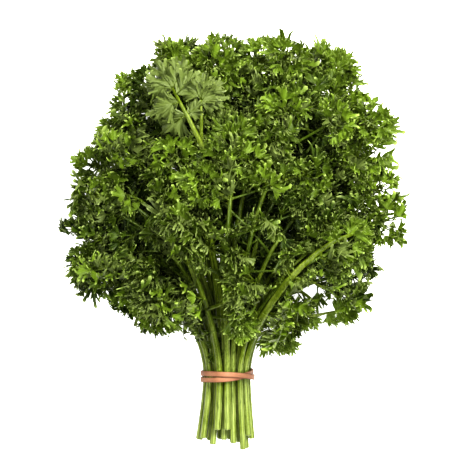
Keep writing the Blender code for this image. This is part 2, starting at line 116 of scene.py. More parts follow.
top_mesh = bpy.data.meshes.new("table_top")
top_mesh.from_pydata([(x * TOP_HALF, y * TOP_HALF, 0) for x, y in ((-1, -1), (1, -1), (1, 1), (-1, 1))],
                     [], [(0, 1, 2, 3)])
pale_top, _, shader = new_material("pale_top")
for label, value in (("Base Color", (0.93, 0.93, 0.93, 1)), ("Roughness", 0.75),
                     ("Emission Color", (1, 1, 1, 1)), ("Emission Strength", 0.6)):
    shader.inputs[label].default_value = value
top_mesh.materials.append(pale_top)
table_top = stand("table_top", top_mesh)

for name, place, aim, width, watts, tint in LAMPS:
    light = bpy.data.lights.new(name, "AREA")
    light.shape = "DISK"
    light.size, light.energy, light.color = width, watts, tint
    lamp = stand(name, light, place)
    lamp.rotation_mode = "QUATERNION"
    lamp.rotation_quaternion = (Vector((0, 0, aim)) - Vector(place)).to_track_quat("-Z", "Y")

world = bpy.data.worlds.new("light_tent")
world.use_nodes = True
world.node_tree.nodes["Background"].inputs["Color"].default_value = (1, 1, 1, 1)
world.node_tree.nodes["Background"].inputs["Strength"].default_value = 0.06
bpy.context.scene.world = world
bpy.context.scene.view_settings.view_transform = "Standard"
bpy.context.scene.view_settings.look = "High Contrast"
print("lamps:", len(bpy.data.lights))

# %% [markdown]
# ## How the bunch grows
#
# A real bunch is picked stem by stem, and each stem bends to its own place round the others. Every leaf
# could be set by hand; here a rule does it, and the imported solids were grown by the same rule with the
# same draws. So each fine piece lands where its plain solid is. First come the sizes.

# %% Sizes of the growing rule, in millimetres and degrees
STEM_PITCH = 4.95
STEM_RADII = (1.85, 2.28)
CLUSTER_TURN = 11.0
CUT_LENGTHS = (33.0, 47.0)
CUT_SPLAY = 0.24
LEFT_SPLAY = 0.42
TIE_HEIGHT = 24.0
HEAD_HEIGHT = 54.0
HEAD_X, HEAD_Y = 5.0, 118.0
HEAD_HALF_THICKNESS = 34.0
FLOOR = 4.0
# Reach of the head from its centre, every 20 degrees clockwise from straight ahead.
HEAD_REACH = (97, 103, 107, 110, 103, 106, 103, 105, 108, 112, 96, 108, 118, 110, 105, 98, 96, 103)
REACH_STEP = 20.0
SPRAY_REACH = 12.0
OVERHANG = 2.0
TIP_ROOM = 1.5
SIDE_LEAN = 92.0
LEAN_RUN = 108.0
BLADE_REACH = (18.5, 24.0)
BLADE_HALF_THICKNESS = 0.95
NECK_HALF_WIDTH = 0.95
TUBE_SIDES = 5
BAND_WIDTH = 3.4
BAND_THICKNESS = 1.1
BAND_GAP = 0.45
BLADES_MOST = 290
SEED = 27
# A full turn in radians, near enough for a random start.
TURN = 6.28
print("head across, mm:", HEAD_REACH[5] + HEAD_REACH[14])


def unit(v):
    return v / max(float(norm(v)), 1e-9)


def square(v, along):
    """What of v is square to a direction, made one unit long."""
    return unit(v - along * np.dot(v, along))


def smooth(t):
    """0 up to t = 0, 1 from t = 1 on, and an even rise between them."""
    t = min(max(t, 0.0), 1.0)
    return t * t * (3.0 - 2.0 * t)


# %% [markdown]
# ### Where each stem stands and how it runs
#
# Thirty-one round stems pack like coins inside a band: one in the middle, then rings round it. Above
# the band each leans out in proportion to its place, so no two ever cross.

# %% Stem places
WIDEST = STEM_PITCH * sqrt(7)


def cluster():
    """Thirty-one close-packed places (across, up), the top ones first."""
    c, s = cos(radians(CLUSTER_TURN)), sin(radians(CLUSTER_TURN))
    places = []
    for a in range(-4, 5):
        for b in range(-4, 5):
            x, z = STEM_PITCH * (a + b / 2), STEM_PITCH * b * sqrt(3) / 2
            if hypot(x, z) < 2.7 * STEM_PITCH:
                places.append((x * c - z * s, x * s + z * c))
    return sorted(places, key=lambda p: (-round(p[1], 3), p[0]))


def centre_height(y):
    """Height of the bunch's middle line: low at the cut ends, raised where the head is thick."""
    rise = TIE_HEIGHT + (HEAD_HEIGHT - TIE_HEIGHT) * smooth((y + 6.0) / 105.0)
    return rise - 5.5 * smooth(-y / 50.0) - 7.0 * smooth((y - 120.0) / 110.0)


def floor_press(z, y):
    """What would hang below the table bends along it; near the tie nothing is pressed."""
    knee = 4.0 + 22.0 * smooth(y / 75.0)
    return z if z > knee else knee * exp((z - knee) / knee)


def head_reach(x, y):
    """Plan reach of the head in the direction of (x, y) from its centre."""
    t = degrees(atan2(x, y)) % 360.0 / REACH_STEP
    a = int(t) % len(HEAD_REACH)
    b = (a + 1) % len(HEAD_REACH)
    return HEAD_REACH[a] + (HEAD_REACH[b] - HEAD_REACH[a]) * (t - int(t))


def plan_depth(x, y):
    """0 at the head's middle in plan, 1 on its outline less the reach of a spray."""
    dx, dy = x - HEAD_X, y - HEAD_Y
    return hypot(dx, dy) / (head_reach(dx, dy) - SPRAY_REACH)


def half_thickness(x, y):
    """Half the thickness of the stems' fan: the bundle's own at the tie, a dome over the head."""
    dome = WIDEST + (HEAD_HALF_THICKNESS - WIDEST) * smooth((y + 8.0) / 98.0)
    if y < 30.0:
        return dome
    fall = 1.0 - 0.62 * min(plan_depth(x, y), 1.1) ** 2.4 * smooth((y - 30.0) / 60.0)
    return dome * max(fall, 0.3)


# %% Stem lines
CUT_STEPS = 7
STEP = 2.0


def stem_line(place, rng):
    """(lengths, points) from the cut end to the tip; length 0 is at the tie."""
    u, w = place[0] / WIDEST, place[1] / WIDEST
    sway = (rng.uniform(0, TURN), rng.uniform(0, TURN), rng.uniform(0.6, 1.0))
    full = 1.0 - 0.26 * w * w + rng.uniform(-0.04, 0.02)
    spread = u / sqrt(1.0 - 0.62 * w * w)
    spread *= abs(spread) ** 0.25
    points = []
    cut = rng.uniform(*CUT_LENGTHS)
    for k in range(CUT_STEPS, 0, -1):
        s = cut * k / CUT_STEPS
        fan = (s / 44.0) ** 1.4
        sideways = 1.0 + fan * (LEFT_SPLAY if place[0] < 0.0 else CUT_SPLAY)
        points.append((place[0] * sideways, -s, place[1] * (1.0 + CUT_SPLAY * fan)))
    x, y, s = place[0], 0.0, 0.0
    run = []
    while s < 240.0 and not (s > 70.0 and plan_depth(x, y) > 1.0):
        loose = smooth(s / 70.0) * sway[2]
        run.append((x, y, (w + 0.09 * loose * sin(s / 29.0 + sway[1])) * half_thickness(x, y)))
        g = 0.04 + 0.96 * min(s / LEAN_RUN, 1.18)
        a = radians(SIDE_LEAN) * spread * g + radians(5.0) * loose * sin(s / 26.0 + sway[0])
        x += STEP * sin(a)
        y += STEP * cos(a)
        s += STEP
    line = np.array(points + run[:max(36, round(full * len(run)))])
    for p in line:
        p[2] = floor_press(p[2] + centre_height(p[1]), p[1])
    lengths = np.concatenate([[0.0], np.cumsum(norm(np.diff(line, axis=0), axis=1))])
    return lengths - lengths[CUT_STEPS], line


def on_line(stem, s):
    """The point at length s of a stem, and the direction there."""
    p, a, b = (np.array([np.interp(t, stem.lengths, stem.line[:, k]) for k in range(3)])
               for t in (s, s - 1.5, s + 1.5))
    return p, unit(b - a)


def stem_radius(stem, s):
    if s < 0:
        return stem.base * (1.0 + 0.03 * (-s / 44.0))
    return stem.base * (1.0 - 0.56 * (s / stem.length) ** 0.8)


# %% [markdown]
# ### Plain shapes that hold the room
#
# While it grows, the rule tests each new spray against plain tubes and toothed lens shapes. They are
# only for that test; the fine leaflets come later.

# %% Tubes
def wrap_faces(rows, n, first=0):
    """Triangles between rows of n corners that close round."""
    faces = []
    for k in range(rows - 1):
        for j in range(n):
            a, b = first + k * n + j, first + k * n + (j + 1) % n
            faces += [(a, b, b + n), (a, b + n, a + n)]
    return faces


def tube(points, radii, sides):
    """A closed tube along the points, its ring frame carried along without twist."""
    points = [np.array(p, float) for p in points]
    side, rings = None, []
    for k, p in enumerate(points):
        along = unit(points[min(k + 1, len(points) - 1)] - points[max(k - 1, 0)])
        if side is None:
            side = np.cross(along, (0.0, 0.0, 1.0) if abs(along[2]) < 0.9 else (1.0, 0.0, 0.0))
        side = square(side, along)
        other = np.cross(along, side)
        for j in range(sides):
            a = 2.0 * pi * j / sides
            rings.append(p + radii[k] * (cos(a) * side + sin(a) * other))
    last = (len(points) - 1) * sides
    faces = wrap_faces(len(points), sides)
    for j in range(1, sides - 1):
        faces += [(0, j + 1, j), (last, last + j, last + j + 1)]
    return np.array(rings), faces


# %% Lens blades
TOOTH_TURNS = (-78, -58, -39, -19, 0, 19, 39, 58, 78)
TOOTH_REACHES = (0.86, 0.68, 0.96, 0.70, 1.0, 0.70, 0.96, 0.68, 0.86)
MIDDLE = 0.42
# The blade's middle corner and its first rim corner, after the six of its short stalk.
TOP_CORNER, FIRST_RIM = 6, 8


def fan_rim(root, axis, normal, reach, wave, grow=1.0):
    """The toothed, waved edge of a blade, from its right to its left."""
    side = np.cross(normal, axis)
    rim = []
    for k, (turn, share) in enumerate(zip(TOOTH_TURNS, TOOTH_REACHES)):
        a, r = radians(turn), reach * share * grow
        lift = reach * (0.20 * sin(wave + 2.1 * k) + 0.12 * share * share)
        rim.append(root + r * (cos(a) * axis + sin(a) * side) + lift * normal)
    return rim


def blade(start, root, axis, normal, reach, wave):
    """One crisped blade with its own short stalk, which begins at start and ends at root."""
    along = unit(root - start)
    low = square(normal, along)
    wide = np.cross(low, along)
    ring = [0.4 * low - NECK_HALF_WIDTH * wide, 0.4 * low + NECK_HALF_WIDTH * wide, -1.15 * low]
    verts = [start + v for v in ring] + [root + v for v in ring]
    middle = root + MIDDLE * reach * axis
    verts += [middle + BLADE_HALF_THICKNESS * normal, middle - BLADE_HALF_THICKNESS * normal]
    verts += fan_rim(root, axis, normal, reach, wave)
    edge = [3] + list(range(FIRST_RIM, len(verts))) + [4]
    faces = [(0, 1, 2), (1, 0, 3), (1, 3, 4), (4, 5, 2), (4, 2, 1), (5, 3, 0), (5, 0, 2)]
    for a, b in zip(edge, edge[1:]):
        faces += [(a, b, 6), (b, a, 7)]
    return np.array(verts), faces + [(4, 3, 6), (3, 5, 7), (5, 4, 7)]


def roomy(root, axis, normal, reach, wave, spare):
    """The blade's fan with some room round it."""
    side = np.cross(normal, axis)
    rim = fan_rim(root, axis, normal, reach, wave, 1.0 + spare / 12.0)
    neck = (NECK_HALF_WIDTH + spare) * side
    rim = [root - neck] + rim + [root + neck]
    n = len(rim)
    middle = root + MIDDLE * reach * axis
    thick = BLADE_HALF_THICKNESS + spare
    verts = [p + spare * normal for p in rim] + [p - spare * normal for p in rim]
    verts += [middle + thick * normal, middle - thick * normal]
    faces = []
    for k in range(n):
        m = (k + 1) % n
        faces += [(k, m, 2 * n), (n + m, n + k, 2 * n + 1), (n + k, n + m, m), (n + k, m, k)]
    return np.array(verts), faces


# %% Room already taken
def middle_and_reach(verts):
    centre = verts.mean(axis=0)
    return centre, float(norm(verts - centre, axis=1).max())


def tree_of(shape):
    return BVHTree.FromPolygons([Vector(v) for v in shape[0]], shape[1])


class Holder:
    def __init__(self):
        self.owners, self.centres, self.reaches, self.trees = [], [], [], []

    def add(self, owner, shape):
        """owner is (stem, part), with part 0 for the stem itself, and one number for each stalk."""
        centre, reach = middle_and_reach(shape[0])
        self.owners.append(owner)
        self.centres.append(centre)
        self.reaches.append(reach)
        self.trees.append(tree_of(shape))

    def crossed(self, own, shape):
        """True where the shape meets anything but the parts named in own."""
        centre, reach = middle_and_reach(shape[0])
        gap = norm(np.array(self.centres) - centre, axis=1) - np.array(self.reaches) - reach
        near = [k for k in np.nonzero(gap < 0.0)[0] if self.owners[k] not in own]
        if not near:
            return False
        tree = tree_of(shape)
        return any(tree.overlap(self.trees[k]) for k in near)


# %% [markdown]
# ### Stalks and sprays
#
# A parsley leaf divides three times: the stem carries pairs of stalks, and each stalk carries sprays.
# The rule walks back from every tip, sets a pair, and turns or shrinks each spray until it is clear.

# %% Grow stalks
# Pairs of side stalks: distance back from the tip, reach, turn from the stem, blades each carries.
STALK_PLAN = ((14, 8, 66, 1), (35, 18, 64, 1), (58, 27, 58, 1), (84, 31, 60, 3), (108, 24, 74, 1))
STALK_TRIES = 12
TUBE_SHARES = (0.16, 0.32, 0.48, 0.64, 0.82, 1.0)


def own_draws(stem, extra=0):
    return random.Random(int(stem.seed * 1e6) + extra)


def stem_tube(stem, spare=0.0):
    marks = [stem.lengths[0], -12.0, 0.0] + [stem.length * share for share in TUBE_SHARES]
    points = [on_line(stem, s)[0] for s in marks]
    verts, faces = tube(points, [stem_radius(stem, s) + spare for s in marks], TUBE_SIDES)
    verts[:, 2] = np.maximum(verts[:, 2], FLOOR - spare)
    return verts, faces


def stem_frame(stem, s):
    """Point, direction, outward normal and sideways direction at length s."""
    p, along = on_line(stem, s)
    out = p - np.array([HEAD_X, HEAD_Y - 25.0, centre_height(HEAD_Y)])
    out *= (1.0, 0.6, 3.4)
    out = square(unit(out + np.array([0.0, 0.0, 12.0])), along)
    side = np.cross(along, out)
    c, t = cos(stem.roll), sin(stem.roll)
    return p, along, c * out + t * side, c * side - t * out


def stalk_way(there, hand, bent, lift):
    """A stalk's direction at a stem's frame: bent from the stem by one angle, lifted by the other."""
    _, along, out, side = there
    sideways = cos(lift) * hand * side + sin(lift) * out
    return cos(bent) * along + sin(bent) * sideways


def stalk_crossed(held, index, point, tip, way):
    return held.crossed([(index, 0)], tube([point + 2.0 * way, tip], (1.7, 1.5), 4))


def hold_stalk(held, index, stalk):
    held.add((index, stalk.part), tube(stalk.points, (1.2, 1.0), 4))


def grow_stalks(index, stem, held):
    rng = own_draws(stem)
    length = stem.length
    # A stem from the middle of the bunch carries less where others cover it.
    deep = hypot(stem.place[0], 1.15 * stem.place[1]) < 1.8 * STEM_PITCH
    tip, along, out, _ = stem_frame(stem, length)
    stem.stalks.append(SimpleNamespace(hand=0, blades=1, part=1, way=along, out=out,
                                       points=(tip - 3.0 * along, tip + 1.0 * along)))
    plan = STALK_PLAN
    if stem.place[0] > 2.5 * STEM_PITCH:
        plan += ((length - 13.0, 24.0, 58.0, 1),)
    for back, reach, turn, count in plan:
        at = length - back * rng.uniform(0.92, 1.08)
        if at < 34.0 or (deep and back > 100.0):
            continue
        for hand in (-1, 1):
            there = stem_frame(stem, at)
            point = there[0]
            for tries in range(STALK_TRIES):
                bent = radians(turn + rng.uniform(-8, 8) + 2.0 * tries * rng.uniform(-1, 1))
                lift = radians(rng.uniform(-14, 18) + 4.0 * tries * rng.uniform(-1, 1))
                way = stalk_way(there, hand, bent, lift)
                run = reach * (1.0 - 0.05 * tries) * rng.uniform(0.9, 1.1)
                tip = point + run * way
                if tip[2] < FLOOR + TIP_ROOM:
                    way = unit(way + np.array([0.0, 0.0, (FLOOR + TIP_ROOM - tip[2]) / run]))
                    tip = point + run * way
                if not stalk_crossed(held, index, point, tip, way):
                    stalk = SimpleNamespace(part=len(stem.stalks) + 1, hand=hand, points=(point, tip),
                                            blades=1 if deep else count, way=way, out=there[2])
                    stem.stalks.append(stalk)
                    hold_stalk(held, index, stalk)
                    break


# %% Grow sprays
# Places for a blade: share of the stalk's run, turn from the stalk, length of its own neck.
STALK_END = (1.0, 0.0, 0.0)
# The most that a blade rises from its stalk or sinks below it, in degrees.
RISE_MOST = 50


def overhang(verts):
    """How far a blade's edge reaches past the head's outline in plan."""
    return max(0.0, *(hypot(x - HEAD_X, y - HEAD_Y) - head_reach(x - HEAD_X, y - HEAD_Y)
                      for x, y, _ in verts[FIRST_RIM:]))


def grow_fan(index, stem, stalk, place, rng, held, tries_most=18, gain=None):
    """One blade on a stalk, turned and shrunk until it is clear of the others; False if it never is."""
    share, fan, neck = place
    start, root = stalk.points
    way, out = stalk.way, stalk.out
    side = np.cross(way, out)
    own = [(index, stalk.part)]
    if norm(root - start) < 10.0:
        own.append((index, 0))
    at_end = place is STALK_END
    for tries in range(tries_most):
        loose = 6.0 + 3.0 * tries
        turn = radians(fan + rng.gauss(0, loose))
        axis = cos(turn) * way + sin(turn) * side
        axis = unit(axis + out * tan(radians(max(-RISE_MOST, min(RISE_MOST, rng.gauss(8, loose))))))
        roll = radians(rng.gauss(0, 14.0 + 3.0 * tries))
        across = np.cross(axis, out)
        normal = square(cos(roll) * np.cross(across, axis) + sin(roll) * across, axis)
        reach = rng.uniform(*BLADE_REACH) * (1.0 - 0.03 * tries) * (1.0 if at_end else 0.88)
        wave = rng.uniform(0, TURN)
        begin = start if at_end else start + share * (root - start)
        foot = root if at_end else begin + neck * axis
        verts, faces = blade(begin, foot, axis, normal, reach, wave)
        if verts[:, 2].min() < FLOOR - 3.5 - 0.12 * tries or overhang(verts) > OVERHANG + 0.3 * tries:
            continue
        if gain is not None and not gain(verts):
            continue
        room, room_faces = roomy(foot, axis, normal, reach, wave, 0.3)
        room[:, 2] = np.maximum(room[:, 2], FLOOR - 0.2)
        if held.crossed(own, (room, room_faces)):
            continue
        verts[:, 2] = np.maximum(verts[:, 2], FLOOR)
        verts[TOP_CORNER, 2] = max(verts[TOP_CORNER, 2], FLOOR + 1.3)
        held.add((index, stalk.part), (verts, faces))
        stem.blades.append(SimpleNamespace(start=begin, root=foot, axis=axis, normal=normal, reach=reach,
                                           verts=verts))
        return True
    return False


def grow_spray(index, stem, which, held):
    """The blades of one stalk: one at its end and, on a long stalk, two more along it."""
    stalk = stem.stalks[which]
    rng = own_draws(stem, 97 * which)
    places = [STALK_END, (0.45, 60.0 * stalk.hand, 3.0), (0.62, -58.0 * stalk.hand, 3.0)]
    for place in places[:stalk.blades]:
        if not grow_fan(index, stem, stalk, place, rng, held) and place is STALK_END:
            break


# %% Fill the last gaps
class Cover:
    """What the blades cover of the head as it is seen from above, in square cells."""

    CELL, CELLS, ORIGIN = 4.0, 90, (45, 20)

    def __init__(self):
        self.seen = np.zeros((self.CELLS, self.CELLS), bool)
        self.wanted = np.zeros((self.CELLS, self.CELLS), bool)
        for i, j in np.ndindex(self.wanted.shape):
            x = (i - self.ORIGIN[0]) * self.CELL - HEAD_X
            y = (j - self.ORIGIN[1]) * self.CELL - HEAD_Y
            self.wanted[i, j] = hypot(x, y) < head_reach(x, y)

    def cell(self, p):
        return tuple(round(p[k] / self.CELL) + self.ORIGIN[k] for k in (0, 1))

    def cells(self, verts):
        rim, middle = verts[FIRST_RIM:], verts[TOP_CORNER]
        found = [self.cell(middle + share * (p - middle)) for p in rim for share in (0.15, 0.5, 0.85)]
        found = np.unique(np.clip(found, 0, self.CELLS - 1), axis=0)
        return found[:, 0], found[:, 1]

    def mark(self, verts):
        self.seen[self.cells(verts)] = True

    def gain(self, verts):
        cells = self.cells(verts)
        return int((self.wanted[cells] & ~self.seen[cells]).sum())


# How many new cells a blade has to cover, in three rounds, and the trials of each round.
NEEDED = (9, 7, 5)
TRIALS = 5200


def fill_gaps(stems, held, most):
    """More stalks with one blade each, where the head would show a gap from above."""
    rng = random.Random(SEED + 1)
    cover = Cover()
    for stem in stems:
        for made in stem.blades:
            cover.mark(made.verts)
    added = 0
    for needed in NEEDED:
        for trial in range(TRIALS):
            if added >= most:
                return
            index = rng.randrange(len(stems))
            stem = stems[index]
            there = stem_frame(stem, rng.uniform(46.0, stem.length - 4.0))
            hand = rng.choice((-1, 1))
            way = stalk_way(there, hand, radians(rng.uniform(28, 82)), radians(rng.uniform(-35, 55)))
            tip = there[0] + rng.uniform(7.0, 36.0) * way
            cell = cover.cell(tip + 9.0 * way)
            if tip[2] < FLOOR + 2.0 or not cover.wanted[cell] or cover.seen[cell]:
                continue
            if stalk_crossed(held, index, there[0], tip, way):
                continue
            stalk = SimpleNamespace(part=100 + trial, way=way, out=there[2], points=(there[0], tip))
            if grow_fan(index, stem, stalk, STALK_END, rng, held, 8, lambda v: cover.gain(v) >= needed):
                hold_stalk(held, index, stalk)
                cover.mark(stem.blades[-1].verts)
                added += 1


# %% Grow the whole bunch
def grow_bunch():
    """Every stem with its line, its stalks and its blades."""
    rng = random.Random(SEED)
    stems = []
    held = Holder()
    for index, place in enumerate(cluster()):
        lengths, line = stem_line(place, rng)
        stem = SimpleNamespace(place=place, lengths=lengths, line=line, base=rng.uniform(*STEM_RADII),
                               length=float(lengths[-1]), seed=rng.random(),
                               roll=radians(rng.uniform(-28, 28)), stalks=[], blades=[])
        stems.append(stem)
        held.add((index, 0), stem_tube(stem, 0.25))
    for index, stem in enumerate(stems):
        grow_stalks(index, stem, held)
    # The outermost blades of every stem first, then the ones further in.
    for turn in range(max(len(stem.stalks) for stem in stems)):
        for index, stem in enumerate(stems):
            if turn < len(stem.stalks):
                grow_spray(index, stem, turn, held)
    fill_gaps(stems, held, BLADES_MOST - sum(len(stem.blades) for stem in stems))
    return stems


stems = grow_bunch()
corners = [stem_tube(stem)[0] for stem in stems] + [made.verts for stem in stems for made in stem.blades]
points = np.concatenate(corners)
low, high = points.min(axis=0), points.max(axis=0)
SHIFT = np.array([(low[0] + high[0]) / 2, (low[1] + high[1]) / 2, low[2]])
offset = max(abs(a * MM - b) for a, b in zip(low - SHIFT, cad_box[0]))
print("stems:", len(stems), "sprays:", sum(len(s.blades) for s in stems))
print("furthest the grown box is from the packed one, mm:", round(offset / MM, 3))

# %% [markdown]
# ## A crisped leaflet
#
# The real leaflet is a small fan, cut into lobes, with blunt finger-like teeth along a margin that has
# far more length than its place allows, so it folds into ruffles. One flat card with a cut-out picture
# would be cheap, but it has no folds to catch the light. Here each leaflet is a real surface: a fan of
# rays from its foot, one finger for each tooth, then lifted by waves that grow towards the margin.

# %% Rays of one leaflet
FEW_ROWS = (0.52, 1.0)
MANY_ROWS = (0.35, 0.7, 1.0)
# Each lobe: its turn from the leaflet's axis, its reach, its teeth.
WIDE_LOBES = ((-46.0, 0.90, 4), (0.0, 1.0, 5), (46.0, 0.90, 4))
SMALL_LOBES = ((-38.0, 0.90, 3), (0.0, 1.0, 4), (38.0, 0.90, 3))
PLAIN_LOBES = ((-44.0, 0.84, 4), (0.0, 1.0, 5), (44.0, 0.88, 4))
BACKING_LOBES = ((-30.0, 0.90, 2), (0.0, 1.0, 3), (30.0, 0.90, 2))
TOOTH_GAP = 9.2
TOOTH_HALF_WIDTH = 3.1
NOTCH_DEPTH = 0.77
LOBE_NOTCH = 0.42
SIDE_REACH = 0.42
NOTCH, LEFT, RIGHT = 0, 1, 2


def leaflet_rays(rng, lobes, notch):
    """(angle, reach, kind, tooth) of every ray from one side to the other; the kind is a notch or one
    of the two sides of a tooth."""
    rays = []
    tooth = 0
    for number, (middle, reach, count) in enumerate(lobes):
        middle += rng.uniform(-4, 4)
        reach *= rng.uniform(0.88, 1.06)
        for k in range(count):
            off = k - (count - 1) / 2
            a = middle + TOOTH_GAP * off + rng.uniform(-1.4, 1.4)
            tip = reach * (1.0 - 0.045 * off * off) * rng.uniform(0.88, 1.06)
            if k == 0:
                gap = notch if number else SIDE_REACH
                rays.append((a - 0.55 * TOOTH_GAP, gap * rng.uniform(0.9, 1.1), NOTCH, tooth))
            wide = TOOTH_HALF_WIDTH * rng.uniform(0.85, 1.15)
            rays += [(a - wide, tip, LEFT, tooth), (a + wide, tip, RIGHT, tooth)]
            if k < count - 1:
                gap = tip * NOTCH_DEPTH
                rays.append((a + 0.5 * TOOTH_GAP, gap * rng.uniform(0.93, 1.07), NOTCH, tooth))
            tooth += 1
    rays.append((rays[-1][0] + 0.35 * TOOTH_GAP, SIDE_REACH, NOTCH, tooth - 1))
    return rays


print("rays of a wide leaflet:", len(leaflet_rays(random.Random(0), WIDE_LOBES, LOBE_NOTCH)))


# %% Shape of one leaflet, foot at the origin, tip along +Y, one unit long
def leaflet_shape(seed, lobes, crisp=1.0, width=1.0, rows=FEW_ROWS, notch=LOBE_NOTCH):
    """(points, faces, edge, rib) of a leaflet; edge is 1 on the tooth tips, rib is 1 along the veins."""
    rng = random.Random(seed)
    rays = leaflet_rays(rng, lobes, notch)
    squeeze = width * rng.uniform(0.82, 1.04)
    # Each wave: how often it turns, where it starts, its height, how it grows towards the margin.
    waves = [(rng.uniform(3.2, 5.6), rng.uniform(0, TURN), 0.26 * crisp * rng.uniform(0.7, 1.3), 1.6),
             (rng.uniform(10.0, 15.0), rng.uniform(0, TURN), 0.155 * crisp * rng.uniform(0.8, 1.3), 2.6)]
    ruffles, ruffle_start, ruffle_height, _ = waves[1]
    cup = rng.uniform(-0.15, 0.50)
    side_cup = rng.uniform(-0.3, 0.5)
    droop = rng.uniform(-0.40, 0.15)
    teeth = sum(lobe[2] for lobe in lobes)
    bends = [crisp * rng.gauss(0.4, 0.5) for _ in range(teeth)]
    leans = [rng.gauss(0.0, 0.5) for _ in range(teeth)]
    # Each lobe rises and rolls by itself, so no two of them catch the same light.
    tilts = [(radians(middle), crisp * rng.gauss(0.16, 0.18), crisp * rng.gauss(0.0, 0.5))
             for middle, reach, count in lobes for _ in range(count)]
    points, edge, rib, faces = [np.zeros(3)], [0.0], [1.0], []

    def add_point(a, r, tooth, past, near_tip, on_vein):
        """past is how far along its tooth the point is, 0 at the foot of the tooth."""
        t = radians(a) * squeeze
        lift = sum(height * r ** power * sin(turns * t + start) for turns, start, height, power in waves)
        t += 0.8 * ruffle_height * r * r * cos(ruffles * t + ruffle_start) + 0.16 * leans[tooth] * past
        reach = r * (1.0 - 0.12 * abs(bends[tooth]) * past)
        lift += 0.22 * bends[tooth] * past * (0.4 + 0.6 * past)
        middle, rise, roll = tilts[tooth]
        free = max(r - 0.3, 0.0) / 0.7
        lift += free * (rise + roll * (radians(a) - middle) * r)
        x, y = reach * sin(t), reach * cos(t)
        lift += cup * r * r + side_cup * x * x + droop * max(y, 0.0) ** 2
        points.append(np.array([x, y, lift]))
        edge.append(near_tip)
        rib.append(on_vein)

    feet = [r if kind == NOTCH else r * (NOTCH_DEPTH + 0.02) for a, r, kind, tooth in rays]
    for share in rows:
        for (a, r, kind, tooth), foot in zip(rays, feet):
            # Near the foot every ray is alike; the notches draw in only close to the margin.
            inner = share * (foot * share ** 1.5 + 0.56 * (1.0 - share ** 1.5))
            add_point(a, inner, tooth, 0.0, (0.42 if kind else 0.30) * share ** 2, 0.85 if kind else 0.1)
    n = len(rays)
    last = 1 + (len(rows) - 1) * n
    # Seen from its upper face, a leaflet's corners run against the rays.
    for k in range(1, n):
        faces.append((0, 1 + k, k))
        for a in range(k, last - 1, n):
            faces += [(a, a + 1 + n, a + n), (a, a + 1, a + 1 + n)]
    for k, (a, r, kind, tooth) in enumerate(rays):
        if kind == LEFT:
            b, first = rays[k + 1][0], len(points)
            reach = feet[k] + 0.74 * (r - feet[k])
            middle, half = 0.5 * (a + b), 0.46 * (b - a)
            add_point(middle - half, reach, tooth, 0.74, 0.8, 0.6)
            add_point(middle + half, reach, tooth, 0.74, 0.8, 0.6)
            add_point(middle, r, tooth, 1.0, 1.0, 0.6)
            left, right = last + k, last + k + 1
            faces += [(left, first + 1, first), (left, right, first + 1), (first, first + 1, first + 2)]
    return np.array(points), np.array(faces), np.array(edge), np.array(rib)


WIDE_LEAFLETS = [leaflet_shape(seed, WIDE_LOBES) for seed in range(32)]
SMALL_LEAFLETS = [leaflet_shape(seed, SMALL_LOBES) for seed in range(100, 120)]
PLAIN_LEAFLETS = [leaflet_shape(seed, PLAIN_LOBES, 1.0, 0.9, MANY_ROWS, 0.5)
                  for seed in range(200, 212)]
BACKING_LEAFLETS = [leaflet_shape(seed, BACKING_LOBES, 0.8) for seed in range(300, 310)]
print("triangles in a wide leaflet:", len(WIDE_LEAFLETS[0][1]))
print("triangles in a small one:", len(SMALL_LEAFLETS[0][1]))

# %% [markdown]
# ### Room for stems, windows and hollows
#
# A real head isn't even. Some stems and stalks lie bare, windows open near its margin, and hollows
# between the tufts let the eye down to its dark middle. Leaves could be deleted by hand afterwards; a
# list of clearings that every leaflet is held against keeps the rule whole.

# %% Clearings and tufts
# Stems that the leaves leave bare from above, each with the part of its length.
BARE_STEMS = (
    (3, 0.22, 0.6), (7, 0.22, 0.45), (2, 0.18, 0.58), (5, 0.16, 0.5), (11, 0.18, 0.46))
# A thick stalk that lies on the leaves at the right, and one that stands out below them.
SIDE_STALK = (
    (15.8, 27.1, 46), (22, 37.8, 53), (29, 49.1, 61), (37.2, 60.5, 67.5), (46.6, 70.6, 71.5),
    (57.3, 80, 73), (68, 86.9, 73), (78.8, 90.7, 71))
LOW_STALK = (
    (40, 36, 36), (46, 38, 38), (57, 39, 38), (70, 41.5, 34))
# Windows right through the leaves, and hollows between the tufts: centre and half width, in plan.
WINDOWS = (
    (44.6, 51.8, 5), (51.7, 55.4, 5.4), (58.2, 58.5, 5), (63.5, 46.5, 5.6), (68, 48.5, 4.4),
    (80.6, 62.4, 4.6), (24, 18, 4.5), (38, 22, 4), (-22, 18, 5.5))
HOLLOWS = (
    (10.7, 110.9, 7), (20.8, 110.9, 6), (3.2, 104, 4.5), (17.6, 83.8, 6.5), (26.5, 80, 5.5),
    (-33.4, 69.3, 7), (34.6, 101.4, 4.5), (49.8, 147.4, 7), (55.4, 158.1, 4.5), (-56.1, 121.6, 6.5),
    (-47.9, 108.4, 5), (-59.8, 98.3, 6), (22, 66.2, 4.5), (-52.3, 83.2, 5.5), (41, 90.7, 4))
# Where the margin of the head stands further out (or in) than the rule's: its direction in degrees
# clockwise from straight ahead, and how far.
TUFTS = (
    (8, 4), (21, -3), (38, 9.5), (52, -2), (68, 2), (80, -3), (100, 8), (115, -2), (133, 8), (149, -12),
    (167, 5.5), (203, 4), (217, -4.5), (241, 2.5), (256, 4), (271, -5), (285, 2), (300, -2), (312, 4),
    (335, 6))
TUFT_WIDTH = 7.0


